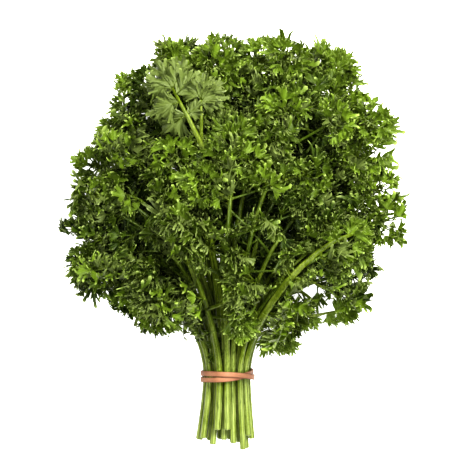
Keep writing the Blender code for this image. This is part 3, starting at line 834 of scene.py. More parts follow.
def clearings():
    """Places (x, y, z, half width) that no leaflet passes above."""
    found = []
    for number, low, high in BARE_STEMS:
        stem = stems[number - 1]
        for share in np.arange(low, high, 0.015):
            p, _ = on_line(stem, share * stem.length)
            found.append((p[0], p[1], p[2] - 2.0, stem.base + 1.4))
    for route, half in ((SIDE_STALK, 4.2), (LOW_STALK, 2.6)):
        for a, b in zip(np.array(route[:-1]), np.array(route[1:])):
            found += [(*(a + t * (b - a) - (0.0, 0.0, 2.0)), half) for t in (0.0, 0.33, 0.67)]
    found += [(x, y, 0.0, half) for x, y, half in WINDOWS]
    found += [(x, y, centre_height(y) + 2.0, half + 2.5) for x, y, half in HOLLOWS]
    return np.array(found)


CLEARINGS = clearings()
print("clearings:", len(CLEARINGS))


def in_the_way(foot, way, size):
    """True where a leaflet would hang over a clearing."""
    for share in (0.1, 0.45, 0.8):
        p = foot + share * size * way
        near = np.hypot(CLEARINGS[:, 0] - p[0], CLEARINGS[:, 1] - p[1]) < CLEARINGS[:, 3]
        if (near & (CLEARINGS[:, 2] < p[2])).any():
            return True
    return False


def close_to(p, places, spare):
    """True where p lies, in plan, within a place's half width and some more."""
    return any(hypot(p[0] - x, p[1] - y) < half + spare for x, y, half in places)


def margin_shift(p):
    """How a leaflet near the margin of the head moves in plan, so that the head gets its tufts."""
    out = np.array([p[0] - HEAD_X, p[1] - HEAD_Y, 0.0])
    far = float(norm(out))
    bearing = degrees(atan2(out[0], out[1]))
    push = sum(much * exp(-(((bearing - at + 180) % 360 - 180) / TUFT_WIDTH) ** 2) for at, much in TUFTS)
    return push * smooth((far - 62.0) / 28.0) * out / max(far, 1.0)


# %% [markdown]
# ### From leaflets to sprays
#
# On the real leaf the last stalk ends in one leaflet, with two or three pairs below it, each on its own
# thread of a stalk and none in quite the same plane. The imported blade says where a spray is, which way
# it points and how far it reaches; the leaflets share that room.

# %% Leaflets and threads of one spray
# Foot's distance and turn from the spray's root, the leaflet's turn, its pitch out of the spray's
# plane, its size, its lift; distances are shares of the spray's reach.
SPRAY_PLAN = (
    (0.54, 0, 0, -8, 0.53, 0), (0.53, 28, 32, -8, 0.51, 0.02), (0.53, -28, -32, -8, 0.51, 0.02),
    (0.46, 56, 64, -12, 0.5, 0.02), (0.46, -56, -64, -12, 0.5, 0.02), (0.4, 86, 98, -14, 0.49, 0.02),
    (0.4, -86, -98, -14, 0.49, 0.02), (0.34, 120, 136, -10, 0.47, 0.03),
    (0.34, -122, -138, -10, 0.47, 0.03), (0.28, 180, 176, -6, 0.46, 0.04),
    (0.38, 14, 18, 26, 0.47, 0.09), (0.36, -22, -28, 24, 0.47, 0.09), (0.3, 60, 72, 28, 0.45, 0.1),
    (0.3, -70, -80, 28, 0.45, 0.1), (0.2, 40, 60, 46, 0.43, 0.15), (0.18, -80, -90, 48, 0.43, 0.15),
    (0.14, 140, -160, 50, 0.43, 0.16), (0.16, 0, 0, 60, 0.41, 0.17))
THREAD_RADII = (0.66, 0.56, 0.46)
RIB_RADII = (0.6, 0.5, 0.4)
PAIR_GAP = 9.0


def turned(v, about, angle):
    """v turned about a unit direction."""
    c, s = cos(angle), sin(angle)
    return v * c + np.cross(about, v) * s + about * float(np.dot(about, v)) * (1.0 - c)


def lay(leaves, shape, foot, way, up, size, tone_and_painted_light):
    """One leaflet among a stem's leaves, with what the leaf finish reads from it."""
    points, faces, edge, rib = shape
    placed = foot + size * (points @ np.array([np.cross(way, up), way, up]))
    leaves.append((placed, faces, edge, rib, np.full(len(points), tone_and_painted_light)))


def painted_light_and_shade(foot):
    """Painted light and shade for a leaflet's place: darker deep inside and near hollows, lighter at the
    right, far end, neck and upper left.
    """
    x, y, _ = foot
    depth = max(half_thickness(x, y) + 4.0 - abs(foot[2] - centre_height(y)), 0.0)
    inside = 0.024 * min(depth, 20.0)
    right = 0.32 * smooth((x - 55.0) / 35.0) * smooth((y - 82.0) / 35.0)
    painted_far_end_light = 0.14 * smooth((y - 170.0) / 30.0)
    neck = 0.28 * smooth((75.0 - y) / 30.0) * smooth((x + 10.0) / 20.0)
    hollow = 0.3 * max(exp(-((x - a) ** 2 + (y - b) ** 2) / (half + 4.0) ** 2) for a, b, half in HOLLOWS)
    painted_upper_left_light = 0.20 * smooth((-48.0 - x) / 25.0) * smooth((y - 112.0) / 25.0)
    return right + painted_far_end_light + neck + painted_upper_left_light - inside - hollow


def hang_leaflet(leaves, threads, rng, root, foot, way, normal, size, kinds, tone_and_painted_light):
    """One leaflet on its thread, rolled a little from the plane that normal gives."""
    up = turned(square(normal, way), way, rng.gauss(0, 0.3))
    shape = kinds[rng.randrange(len(kinds))]
    # Random variation, plus painted light and shade for the leaflet's place.
    tone_and_painted_light += rng.gauss(0, 0.09) + painted_light_and_shade(foot)
    foot = foot + margin_shift(foot)
    size *= rng.uniform(0.86, 1.14)
    if in_the_way(foot, way, size):
        return
    lay(leaves, shape, foot, way, up, size, tone_and_painted_light)
    bend = root + 0.5 * (foot - root) + 0.04 * size * normal
    threads.append(([root, bend, foot + 0.6 * way], THREAD_RADII))


def grow_leaflets(made, rng, leaves, threads, tone_and_painted_light):
    """The leaflets of one spray, and their threads."""
    start, root, axis, normal, reach = made.start, made.root, made.axis, made.normal, made.reach
    # A spray crisps towards its upper face, which mostly looks out of the bunch.
    if normal[2] < -0.15:
        normal = -normal
    for away, at, fan, pitch, size, lift in SPRAY_PLAN:
        out = turned(axis, normal, radians(at + rng.gauss(0, 7)))
        foot = root + reach * (away * out + lift * normal)
        way = turned(axis, normal, radians(fan + rng.gauss(0, 9)))
        tip_up = radians(pitch + rng.gauss(2, 11))
        way = unit(cos(tip_up) * way + sin(tip_up) * normal)
        # The crown of a spray is painted lighter, as lit, and its rim darker, as shaded.
        hang_leaflet(leaves, threads, rng, root, foot, way, normal, reach * size, WIDE_LEAFLETS,
                     tone_and_painted_light + 2.2 * lift - 0.15)
    # Behind them hang two broader leaflets, painted darker as shade.
    for at in (-70.0, 60.0):
        way = turned(axis, normal, radians(at + rng.gauss(0, 15)))
        foot = root + reach * (0.24 * way - 0.16 * normal)
        way = unit(way - 0.12 * normal)
        hang_leaflet(leaves, threads, rng, root, foot, way, normal, 0.84 * reach, BACKING_LEAFLETS,
                     tone_and_painted_light - 0.2)
    # A long stalk carries a pair of small leaflets now and then on its way.
    run = float(norm(root - start))
    along = unit(root - start)
    flat = square(normal, along)
    for k in range(int(run / PAIR_GAP)):
        node = start + along * (run - PAIR_GAP * (k + 0.6))
        for hand in (-1, 1):
            way = turned(along, flat, hand * radians(rng.uniform(40, 80)))
            way = unit(way + flat * rng.gauss(0.5, 0.4))
            hang_leaflet(leaves, threads, rng, node, node + 4.0 * way, way, flat, rng.uniform(8.5, 12.0),
                         SMALL_LEAFLETS, tone_and_painted_light)


def grow_stem_leaflets(stem, rng, leaves, threads, tone_and_painted_light):
    """Small leaflets along the upper half of a stem, standing out from it on all sides."""
    at = 0.5 * stem.length
    while at < stem.length - 4.0:
        node, along, out, side = stem_frame(stem, at)
        around = rng.uniform(-1.3, 1.3)
        way = unit(0.45 * along + cos(around) * out + sin(around) * side)
        hang_leaflet(leaves, threads, rng, node, node + 5.5 * way, way, along, rng.uniform(9.0, 13.0),
                     SMALL_LEAFLETS, tone_and_painted_light)
        at += rng.uniform(5.0, 8.0)


print("leaflets in a spray:", len(SPRAY_PLAN))

# %% [markdown]
# ### Leaves in the shade
#
# A head this thick is never seen through, except near its margin. So once the sprays stand, a net of
# small squares is laid over the head, and where a square holds no leaf, or lies in a hollow, one broad
# leaflet, its colour painted dark as shade, is hung in the middle of the head, from the stem that passes
# nearest.

# %% Broad leaflets in the gaps
NET = 5.0
NET_ACROSS, NET_ALONG = range(-24, 26), range(6, 46)
SHADE_SEED = 77
SHADE_SIZE = 14.0
WINDOW_ROOM = 8.0


def shade_leaves(grown):
    """Adds to grown, the (leaves, threads) of each stem; gives how many leaflets it took."""
    held = {(int(x // NET), int(y // NET)) for leaves, _ in grown for part in leaves
            for x, y, _ in part[0]}
    rng = random.Random(SHADE_SEED)
    added = 0
    for i in NET_ACROSS:
        for j in NET_ALONG:
            p = np.array([(i + 0.5) * NET, (j + 0.5) * NET, 0.0])
            if plan_depth(p[0], p[1]) > 1.08:
                continue
            if any(hypot(p[0] - x, p[1] - y) < WINDOW_ROOM for x, y, _ in WINDOWS):
                continue
            if (i, j) in held and not close_to(p, HOLLOWS, 6.0):
                continue
            p[2] = centre_height(p[1]) - rng.uniform(6.0, 16.0)
            found = []
            for number, stem in enumerate(stems):
                away = norm(stem.line - p, axis=1)
                found.append((float(away.min()), number, int(away.argmin())))
            _, number, k = min(found)
            root = stems[number].line[k]
            way = unit(np.array([rng.gauss(0, 1), rng.gauss(0, 1), rng.gauss(0, 0.15)]))
            leaves, threads = grown[number]
            up = square(np.array([0.0, 0.0, 1.0]), way)
            shape = BACKING_LEAFLETS[rng.randrange(len(BACKING_LEAFLETS))]
            # A value near nought paints the leaflet dark as shade.
            lay(leaves, shape, p - 6.0 * way, way, up, SHADE_SIZE, rng.uniform(0.0, 0.15))
            threads.append(([root, 0.5 * (root + p) + (0.0, 0.0, 1.5), p - 5.0 * way], THREAD_RADII))
            added += 1
    return added


print("squares of the net, mm:", NET)

# %% [markdown]
# ### Leaves that lie by themselves
#
# On a real bunch some leaves are turned over and show their pale, ribbed underside, and small sprigs
# hang out below the head or stand between the stems just above the band. They would never come from
# an even rule, so each is set by its own numbers: the run of its stalk, then the tip of each leaflet.

# %% Leaves set one by one
# Stem, leaflet kinds, tone, stalk radii, the stalk's points, and groups of a foot and its tips.
LONE_LEAVES = {
    "turned_leaf": (5, PLAIN_LEAFLETS, 0.62, (2.1, 1.9, 1.5, 0.9),
        ((-15, 135, 76), (-14.5, 143.6, 86), (-23.3, 161.3, 92.5), (-33.4, 180.2, 90)),
        (((-33.4, 180.2, 90), (-45.4, 199.1, 86)), ((-32.8, 180.4, 90.5), (-24.6, 200.3, 89)),
        ((-33, 179.5, 90), (-53.5, 183.5, 84)), ((-29.6, 171.4, 92), (-49.4, 163.6, 86)),
        ((-30.9, 176.4, 91.5), (-17, 190.5, 92.5)), ((-24.6, 163.8, 92.5), (-41.5, 152.7, 89),
        (-13.2, 171.9, 94)))),
    "far_right": (15, WIDE_LEAFLETS, 0.75, (1, 0.9, 0.7),
        ((73.7, 177, 51), (71, 188, 54), (69.5, 196, 55)),
        (((69.5, 196, 55), (61, 207, 54), (70.5, 209.5, 53), (79.5, 206, 52)), ((70, 194, 55),
        (83, 196.5, 52)), ((71, 189, 54), (59, 197, 53)), ((71, 188, 54), (82, 188, 52)))),
    "far_left": (5, WIDE_LEAFLETS, 0.75, (1, 0.9, 0.7),
        ((-22, 182.7, 62), (-28.5, 193, 62), (-33, 200, 60)),
        (((-33, 200, 60), (-45, 206, 58), (-38, 213, 58), (-27, 213, 59)), ((-30, 195, 61),
        (-20, 205, 60)))),
    "left_point": (11, WIDE_LEAFLETS, 0.7, (0.9, 0.8, 0.6),
        ((-45, 180, 53), (-55, 184, 50), (-61, 186, 48)),
        (((-61, 186, 48), (-71.5, 190.5, 46)), ((-60, 185.5, 48), (-71, 182, 46)), ((-57, 184.5, 49),
        (-60, 195, 49)))),
    "side_leaf": (5, PLAIN_LEAFLETS, 0.55, (1.3, 1.2, 1, 0.7),
        ((-16, 140, 76), (-15.8, 148.7, 86), (-15.6, 162, 91.5), (-15.8, 172.9, 93)),
        (((-15.8, 172.9, 93), (-22.5, 187, 94), (-13.2, 190.3, 95.5)), ((-15.6, 172.4, 93),
        (-2, 185.5, 93)), ((-15.6, 171, 93), (1, 174.4, 90)))),
    "hanging_sprig": (18, WIDE_LEAFLETS, 0.75, (0.75, 0.65, 0.55, 0.4),
        ((18, 23.5, 27), (24, 27.5, 25), (30, 28.2, 22), (35.5, 26, 19)),
        (((28, 27.8, 22), (27.5, 16, 19)), ((30, 28, 21.5), (22, 12, 16)), ((33, 27, 20),
        (32.5, 12, 15)), ((35.5, 26, 19), (45.5, 14.5, 15), (39.5, 11.5, 14)))),
    "right_sprig": (24, WIDE_LEAFLETS, 0.58, (1.3, 1.2, 1, 0.6),
        LOW_STALK,
        (((50.5, 38.5, 37), (45.5, 29, 34)), ((53.5, 39, 37.5), (58.5, 30, 33)), ((64, 40.5, 36),
        (69.5, 31.5, 32)), ((70, 41.5, 34), (82, 35, 30)), ((69, 42, 34), (79, 49, 33)), ((72, 42, 34),
        (88, 43, 32)))),
    "side_sprig": (3, WIDE_LEAFLETS, 0.8, (2.3, 2.4, 2.4, 2.3, 2.1, 1.9, 1.6, 1.1),
        SIDE_STALK,
        (((78.8, 90.7, 71), (92, 97, 68), (90, 84, 68)), ((76, 90, 72), (82, 101, 70)), ((68, 87, 73.5),
        (66, 98, 73)))),
    "second_stalk": (7, WIDE_LEAFLETS, 0.75, (1.5, 1.5, 1.4, 1.2, 0.8),
        ((20, 38, 49), (26, 50, 58), (32.1, 59.8, 65), (38.4, 68.7, 69), (49.8, 78.8, 71)),
        (((49.8, 78.8, 71), (58, 87, 71)), ((49, 78, 71), (48, 88, 72)))),
    "branching_leaf": (2, PLAIN_LEAFLETS, 0.6, (1.3, 1.2, 1, 0.7),
        ((-20, 62, 71), (-23.5, 72, 79), (-26, 84, 86), (-28, 94, 88)),
        (((-28, 94, 88), (-39, 100, 85), (-27.5, 108, 89)), ((-27, 88, 87), (-41, 89, 83)),
        ((-27.5, 92, 88), (-17, 101, 88)), ((-26, 83, 86), (-36, 78, 83)))),
    "neck_sprigs": (6, SMALL_LEAFLETS, 0.35, (0.7, 0.65, 0.6, 0.4),
        ((-6.5, 12, 34), (-7.5, 18, 37), (-8.5, 24, 39.5), (-10, 31, 43)),
        (((-7.2, 15, 36), (-12, 9, 35.5)), ((-7.6, 18, 37), (-2.5, 12, 38)), ((-8, 21, 38.5),
        (-14, 18.5, 38)), ((-8.4, 24, 39.5), (-3, 21, 41)), ((-9, 27, 41), (-14.5, 29, 42)),
        ((-9.6, 30, 42.5), (-4.5, 31, 44.5)))),
    "collar_sprig": (3, WIDE_LEAFLETS, 0.8, (0.9, 0.85, 0.7, 0.5),
        ((9.5, 25.5, 44.5), (9, 31, 50), (9.5, 36, 53), (10, 41, 54)),
        (((9, 33, 52), (1.5, 24.5, 49.5)), ((9.5, 33, 52.5), (9.5, 21.5, 50)), ((10, 33.5, 52.5),
        (18, 24.5, 49)), ((10, 36, 53.5), (22, 32, 50.5)), ((9, 36, 53.5), (-3.5, 31, 51.5)),
        ((9.5, 38, 54.5), (2, 46, 56)), ((10, 38, 54.5), (18, 44, 55)), ((9.6, 38, 55), (10, 27, 56)))),
}


# A long leaflet is itself cut into four: where each begins along it, its turn, and its size.
LEAFLET_PARTS = ((0.40, 0.0, 0.64), (0.18, 38.0, 0.62), (0.18, -38.0, 0.62), (0.0, 8.0, 0.56))
WHOLE_LEAFLET = ((0.0, 0.0, 1.0),)


def set_leaf(leaf, rng, leaves, threads):
    """One leaf set by its own numbers among its stem's leaves and threads."""
    _, kinds, tone_and_painted_light, radii, line, groups = leaf
    # Plain leaflets lie turned over.
    face = np.array([0.0, 0.0, -1.0 if kinds is PLAIN_LEAFLETS else 1.0])
    threads.append((line, radii))
    for foot, tip in ((np.array(group[0]), np.array(tip)) for group in groups for tip in group[1:]):
        way = unit(tip - foot)
        run = float(norm(tip - foot))
        flat = square(face, way)
        threads.append(([foot, foot + 0.2 * run * way, foot + 0.45 * run * way], RIB_RADII))
        for share, turn, size in LEAFLET_PARTS if run > 9.0 else WHOLE_LEAFLET:
            own = turned(way, flat, radians(turn + rng.gauss(0, 6)))
            up = square(turned(unit(flat + 0.1 * own), own, rng.gauss(0, 0.3)), own)
            shape = kinds[rng.randrange(len(kinds))]
            lay(leaves, shape, foot + share * run * way, own, up, 1.12 * size * run,
                tone_and_painted_light + rng.gauss(0, 0.06))


print("leaves set one by one:", len(LONE_LEAVES))

# %% [markdown]
# ## Finishes
#
# Leaf, stem and band each have a mottle and a fine grain, at their own sizes. Both are node groups, made
# once. The mottle gives a value round one half; the grain gives a height for a Bump node. A painted
# colour map could do the same on one mesh, but it would need its own map for every leaf.

# %% Nodes
def add_node(tree, kind, wires, **settings):
    """A new node with its settings; each wire is a socket's label and its value or what feeds it."""
    node = tree.nodes.new("ShaderNode" + kind)
    for label, value in settings.items():
        setattr(node, label, value)
    feed(tree, node.inputs, wires)
    return node


def feed(tree, sockets, wires):
    """Links each output into its socket, and sets each number or colour on its own."""
    for label, value in wires.items():
        if isinstance(value, bpy.types.NodeSocket):
            tree.links.new(value, sockets[label])
        else:
            sockets[label].default_value = (*value, 1.0) if isinstance(value, tuple) else value


def calc(tree, how, a, b):
    return add_node(tree, "Math", {0: a, 1: b}, operation=how).outputs[0]


def new_group(name, inputs, output):
    """A node group with named number inputs and one number output."""
    group = bpy.data.node_groups.new(name, "ShaderNodeTree")
    for label, value in inputs.items():
        socket = group.interface.new_socket(name=label, in_out="INPUT", socket_type="NodeSocketFloat")
        socket.default_value = value
    group.interface.new_socket(name=output, in_out="OUTPUT", socket_type="NodeSocketFloat")
    taken = group.nodes.new("NodeGroupInput").outputs
    return group, taken, group.nodes.new("NodeGroupOutput").inputs[output]


# %% Shared groups: mottle and grain
mottle, taken, given = new_group(
    "mottle", {"Patch Scale": 60.0, "Speck Scale": 900.0, "Speck Share": 0.35}, "Value")
where = add_node(mottle, "TexCoord", {}).outputs["Object"]
share = taken["Speck Share"]
patches, specks = (
    add_node(mottle, "TexNoise", {"Vector": where, "Scale": taken[label], "Detail": detail}).outputs["Fac"]
    for label, detail in (("Patch Scale", 2.0), ("Speck Scale", 3.0)))
big = calc(mottle, "MULTIPLY", patches, calc(mottle, "SUBTRACT", 1.0, share))
mottle.links.new(calc(mottle, "ADD", big, calc(mottle, "MULTIPLY", specks, share)), given)

grain, taken, given = new_group("grain", {"Size": 1500.0, "Stretch": 1.0}, "Height")
where = add_node(grain, "TexCoord", {}).outputs["Object"]
squash = add_node(grain, "CombineXYZ", {"X": 1.0, "Y": taken["Stretch"], "Z": 1.0}).outputs["Vector"]
scaled = add_node(grain, "VectorMath", {0: where, 1: squash}, operation="MULTIPLY").outputs["Vector"]
noise = add_node(grain, "TexNoise", {"Vector": scaled, "Scale": taken["Size"], "Detail": 4.0})
grain.links.new(noise.outputs["Fac"], given)
print("groups:", mottle.name, grain.name)


# %% Small helpers for the materials
def use(tree, group, **values):
    """A shared group placed in a material with its own values."""
    node = add_node(tree, "Group", {}, node_tree=group)
    feed(tree, node.inputs, {label.replace("_", " "): value for label, value in values.items()})
    return node.outputs[0]


def attribute(tree, name):
    return add_node(tree, "Attribute", {}, attribute_name=name).outputs["Fac"]


def ramp(tree, value, *stops):
    """Value to colour through (position, colour) stops."""
    node = add_node(tree, "ValToRGB", {"Fac": value})
    elements = node.color_ramp.elements
    while len(elements) < len(stops):
        elements.new(0.5)
    for element, (position, colour) in zip(elements, stops):
        element.position, element.color = position, (*colour, 1.0)
    return node.outputs["Color"]


def mixed(tree, share, a, b, how="MIX"):
    node = add_node(tree, "Mix", {"Factor": share}, data_type="RGBA", blend_type=how)
    feed(tree, node.inputs, {"A": a, "B": b})
    return node.outputs["Result"]


def spread(tree, value, low, high, to_low=0.0, to_high=1.0):
    """Value from low..high stretched to to_low..to_high, and held there."""
    wires = {"Value": value, "From Min": low, "From Max": high, "To Min": to_low, "To Max": to_high}
    return add_node(tree, "MapRange", wires, interpolation_type="SMOOTHSTEP").outputs["Result"]


def bumped(tree, height, strength, depth):
    return add_node(tree, "Bump", {"Height": height, "Strength": strength,
                                   "Distance": depth}).outputs["Normal"]


def times(share, colour):
    return tuple(share * c for c in colour)


# %% [markdown]
# ### Leaf finish
#
# Parsley leaf is a deep, slightly glossy green above, duller and paler beneath, and its tooth tips go
# yellow-green where the blade is thin; that pale colour is in part a painted highlight. Light also comes
# through the leaf. So the colour follows how near the margin a point is, and a value that mixes random
# variation with painted light and shade; a part of the light is passed on by a Translucent shader in the
# mix.

# %% Leaf finish
def leaf_finish(name, deep, fresh, tip, under):
    made, tree, shader = new_material(name)
    edge, rib, tone_and_painted_light = (attribute(tree, label) for label in ("edge", "rib", "tone_and_painted_light"))
    value = use(tree, mottle, Patch_Scale=70.0, Speck_Scale=1100.0, Speck_Share=0.4)
    # Mottle plus the per-leaflet value: random variation and painted light and shade.
    shade = calc(tree, "ADD", value, calc(tree, "SUBTRACT", tone_and_painted_light, 0.5))
    bright = times(1.7, fresh)
    upper = ramp(tree, shade, (0.10, deep), (0.60, fresh), (1.0, bright))
    upper = mixed(tree, spread(tree, rib, 0.5, 1.0, 0.0, 0.28), upper, bright)
    # Tooth tips: the thin margin's own paler green, and in part a painted highlight.
    upper = mixed(tree, spread(tree, edge, 0.4, 1.0, 0.0, 0.5), upper, tip)
    lower = ramp(tree, shade, (0.2, times(0.75, under)), (0.8, under))
    lower = mixed(tree, spread(tree, rib, 0.4, 1.0, 0.0, 0.05), lower, tip)
    lower = mixed(tree, spread(tree, edge, 0.55, 1.0, 0.0, 0.30), lower, tip)
    colour = mixed(tree, add_node(tree, "NewGeometry", {}).outputs["Backfacing"], upper, lower)
    height = use(tree, grain, Size=1300.0, Stretch=1.0)
    feed(tree, shader.inputs, {"Base Color": colour, "Specular IOR Level": 0.22,
                               "Roughness": spread(tree, value, 0.3, 0.7, 0.40, 0.58),
                               "Normal": bumped(tree, height, 0.35, 0.0006)})
    through = mixed(tree, 1.0, colour, (1.25, 1.35, 0.55), "MULTIPLY")
    through = add_node(tree, "BsdfTranslucent", {"Color": through}).outputs["BSDF"]
    blend = add_node(tree, "MixShader", {"Fac": 0.10, 1: shader.outputs["BSDF"], 2: through})
    tree.links.new(blend.outputs["Shader"], tree.nodes["Material Output"].inputs["Surface"])
    return made


leaf_green = leaf_finish("leaf_green", (0.008, 0.018, 0.0008), (0.071, 0.106, 0.0105),
                         (0.44, 0.54, 0.17), (0.096, 0.125, 0.033))
print("leaf finish:", len(leaf_green.node_tree.nodes), "nodes")

# %% [markdown]
# ### Stem, cut end and band finishes
#
# The stems are bright yellow-green with fine grooves, painted darker as shade, paler near the cut and
# streaked along their run.
# The cut faces are pale and moist. The band is matt salmon rubber with a dusty bloom, painted darker
# towards its edges as shade.

# %% Stem, cut end and band finishes
def solid_finish(name, colours, along=None, rough=(0.4, 0.55), size=1500.0, stretch=1.0, depth=0.0004,
                 patch=60.0, shade_attribute=None, streaks=0.0):
    """A finish whose colour runs through the given colours with the mottle, painted darker as shade where
    the named attribute is 0, with long pale and dark streaks if asked."""
    made, tree, shader = new_material(name)
    value = use(tree, mottle, Patch_Scale=patch, Speck_Scale=16.0 * patch, Speck_Share=0.3)
    shade = value
    if along:
        shade = calc(tree, "ADD", value, spread(tree, attribute(tree, along), 0.0, 1.1, 0.20, -0.42))
    colour = ramp(tree, shade, *zip((0.2, 0.5, 0.8), colours))
    if streaks:
        lines = use(tree, grain, Size=1300.0, Stretch=0.035)
        colour = mixed(tree, spread(tree, lines, 0.50, 0.66, 0.0, streaks), colour, colours[0])
        colour = mixed(tree, spread(tree, lines, 0.46, 0.32, 0.0, 0.8 * streaks), colour, colours[2])
    if shade_attribute:
        # Painted shade: darker in the stem's grooves and towards the band's edges.
        dark = spread(tree, attribute(tree, shade_attribute), 0.1, 0.9, 0.42, 0.0)
        colour = mixed(tree, dark, colour, times(0.35, colours[0]))
    height = use(tree, grain, Size=size, Stretch=stretch)
    feed(tree, shader.inputs, {"Base Color": colour, "Specular IOR Level": 0.25,
                               "Roughness": spread(tree, value, 0.3, 0.7, *rough),
                               "Normal": bumped(tree, height, 0.4, depth)})
    return made


stem_green = solid_finish(
    "stem_green", ((0.047, 0.076, 0.003), (0.118, 0.158, 0.010), (0.255, 0.308, 0.085)),
    along="along", shade_attribute="ridge", size=1400.0, stretch=0.12, streaks=0.7)
cut_pale = solid_finish("cut_pale", ((0.28, 0.35, 0.10), (0.42, 0.50, 0.19), (0.56, 0.62, 0.32)),
                        rough=(0.25, 0.4), size=2500.0)
rubber = solid_finish(
    "salmon_rubber", ((0.17, 0.068, 0.036), (0.250, 0.120, 0.066), (0.330, 0.180, 0.110)),
    rough=(0.5, 0.7), size=2600.0, depth=0.0002, patch=120.0, shade_attribute="middle")
print("finishes:", [m.name for m in bpy.data.materials])

# %% [markdown]
# ## Stems
#
# A parsley stem is round with about seven fine ridges, thick and pale at the cut, thin and green at the
# tip. It could be a curve with a bevel; a tube written ring by ring also carries the ridge and the
# distance from the cut, which the finish reads.

# %% Ridged stems and their stalks
RIDGES = 7
RIDGE_HEIGHT = 0.045
CUT_TAPER = 0.93
# A stalk's radius from its foot to its tip, as shares of its own.
STALK_TAPER = (1.35, 1.1, 1.0, 0.95, 0.9, 0.6)


def ridged_tube(points, radii, sides, ridge, heights):
    """A closed tube, every other corner of its rings raised; also gives which, and the height."""
    verts, faces = tube(points, radii, sides)
    raised = np.tile(np.arange(sides) % 2, len(points)).astype(float)
    middles = np.repeat(np.array(points, float), sides, axis=0)
    verts = middles + (verts - middles) * (1.0 + ridge * (2.0 * raised - 1.0))[:, None]
    return verts, np.array(faces), raised, np.repeat(np.array(heights, float), sides)


def stem_parts(stem, rng):
    """The stem and its stalks as tubes, from the cut end up."""
    top, cut = stem.length, stem.lengths[0]
    marks = np.concatenate([[cut], np.arange(cut + 0.5, 0.0, 3.0), np.arange(0.0, top, 4.0), [top]])
    line = np.array([on_line(stem, s)[0] for s in marks])
    radii = [stem_radius(stem, s) for s in marks]
    # The rim of the cut end is rounded.
    radii[0] *= CUT_TAPER
    line[:, 2] = np.maximum(line[:, 2], FLOOR + 0.5 * np.array(radii))
    shares = np.clip((marks - marks[0]) / (top - marks[0]), 0, 1)
    parts = [ridged_tube(line, radii, 2 * RIDGES, RIDGE_HEIGHT, shares)]
    for made in stem.blades:
        start, root = made.start, made.root
        run = float(norm(root - start))
        sag = np.array([rng.gauss(0, 0.03), rng.gauss(0, 0.03), -0.03 - 0.03 * rng.random()]) * run
        points = [start + t * (root - start) + 4.0 * t * (1.0 - t) * sag
                  for t in (0.0, 0.25, 0.5, 0.75, 1.0)]
        points.append(root + 0.22 * made.reach * made.axis)
        # Stalks that cross a hollow are thinner, and painted darker as shade.
        shaded = any(close_to(p, HOLLOWS, 4.0) for p in points[1:5])
        thick = (0.75 + 0.012 * run) * (0.72 if shaded else 1.0)
        heights = np.linspace(0.45, 0.7, 6) + (0.4 if shaded else 0.0)
        parts.append(ridged_tube(points, [thick * k for k in STALK_TAPER], 8, 0.03, heights))
    return parts


def thread_tube(line, radii):
    """A fine three-sided thread, or a ridged stalk where the line has more than three points."""
    if len(line) == 3:
        return ridged_tube(line, radii, 3, 0.0, (0.45, 0.6, 0.7))
    return ridged_tube(line, radii, 8, 0.04, np.linspace(0.2, 0.5, len(line)))


# %% Meshes
# Height above the table, in millimetres, from which what would pass through it bends.
PRESS = 2.0


def gathered(parts):
    """Many parts (points, faces, values ...) as one."""
    points, faces, *values = zip(*parts)
    starts = np.cumsum([0] + [len(p) for p in points[:-1]])
    faces = [f + start for f, start in zip(faces, starts)]
    return [np.concatenate(column) for column in (points, faces, *values)]


def mesh_piece(name, parts, finish, slot, *labels):
    """A smooth mesh from parts in layout millimetres, riding with the bunch, its values so labelled."""
    points, faces, *values = gathered(parts)
    points = points - SHIFT
    low = points[:, 2] < PRESS
    points[low, 2] = PRESS * np.exp((points[low, 2] - PRESS) / PRESS)
    mesh = bpy.data.meshes.new(name)
    mesh.vertices.add(len(points))
    mesh.vertices.foreach_set("co", (points * MM).ravel())
    mesh.loops.add(3 * len(faces))
    mesh.loops.foreach_set("vertex_index", faces.ravel().astype(np.int32))
    mesh.polygons.add(len(faces))
    mesh.polygons.foreach_set("loop_start", np.arange(0, 3 * len(faces), 3, dtype=np.int32))
    mesh.update(calc_edges=True)
    mesh.polygons.foreach_set("use_smooth", np.ones(len(faces), bool))
    for label, numbers in zip(labels, values):
        layer = mesh.attributes.new(label, "FLOAT", "POINT")
        layer.data.foreach_set("value", np.asarray(numbers, np.float32))
    mesh.materials.append(finish)
    obj = stand(name, mesh)
    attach(obj, "root")
    return obj


# %% Grow every leafy stem's leaves
LEAF_SEED = 4000
draws = [random.Random(LEAF_SEED + number) for number in range(1, len(stems) + 1)]
grown = []
for number, (stem, rng) in enumerate(zip(stems, draws), 1):
    leaves, threads = [], []
    stem_tone = rng.uniform(0.55, 0.85)
    for made in stem.blades:
        grow_leaflets(made, rng, leaves, threads, stem_tone + rng.gauss(0, 0.21))
    grow_stem_leaflets(stem, rng, leaves, threads, stem_tone)
    for leaf in LONE_LEAVES.values():
        if leaf[0] == number:
            set_leaf(leaf, rng, leaves, threads)
    grown.append((leaves, threads))
print("leaflets in the shade:", shade_leaves(grown))

# %% Build every leafy stem
triangles = {"leaves": 0, "stems": 0}
for number, (stem, rng, (leaflets, threads)) in enumerate(zip(stems, draws, grown), 1):
    node = f"leafy_stem_{number:02d}"
    leaves = mesh_piece(f"leaves_{number:02d}", leaflets, leaf_green, "parsley_leaf",
                        "edge", "rib", "tone_and_painted_light")
    parts = stem_parts(stem, rng) + [thread_tube(line, radii) for line, radii in threads]
    stalk = mesh_piece(f"stem_{number:02d}", parts, stem_green, "parsley_stem", "ridge", "along")
    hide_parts(node)
    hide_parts(node)
    triangles["leaves"] += len(leaves.data.polygons)
    triangles["stems"] += len(stalk.data.polygons)
print("triangles:", triangles)
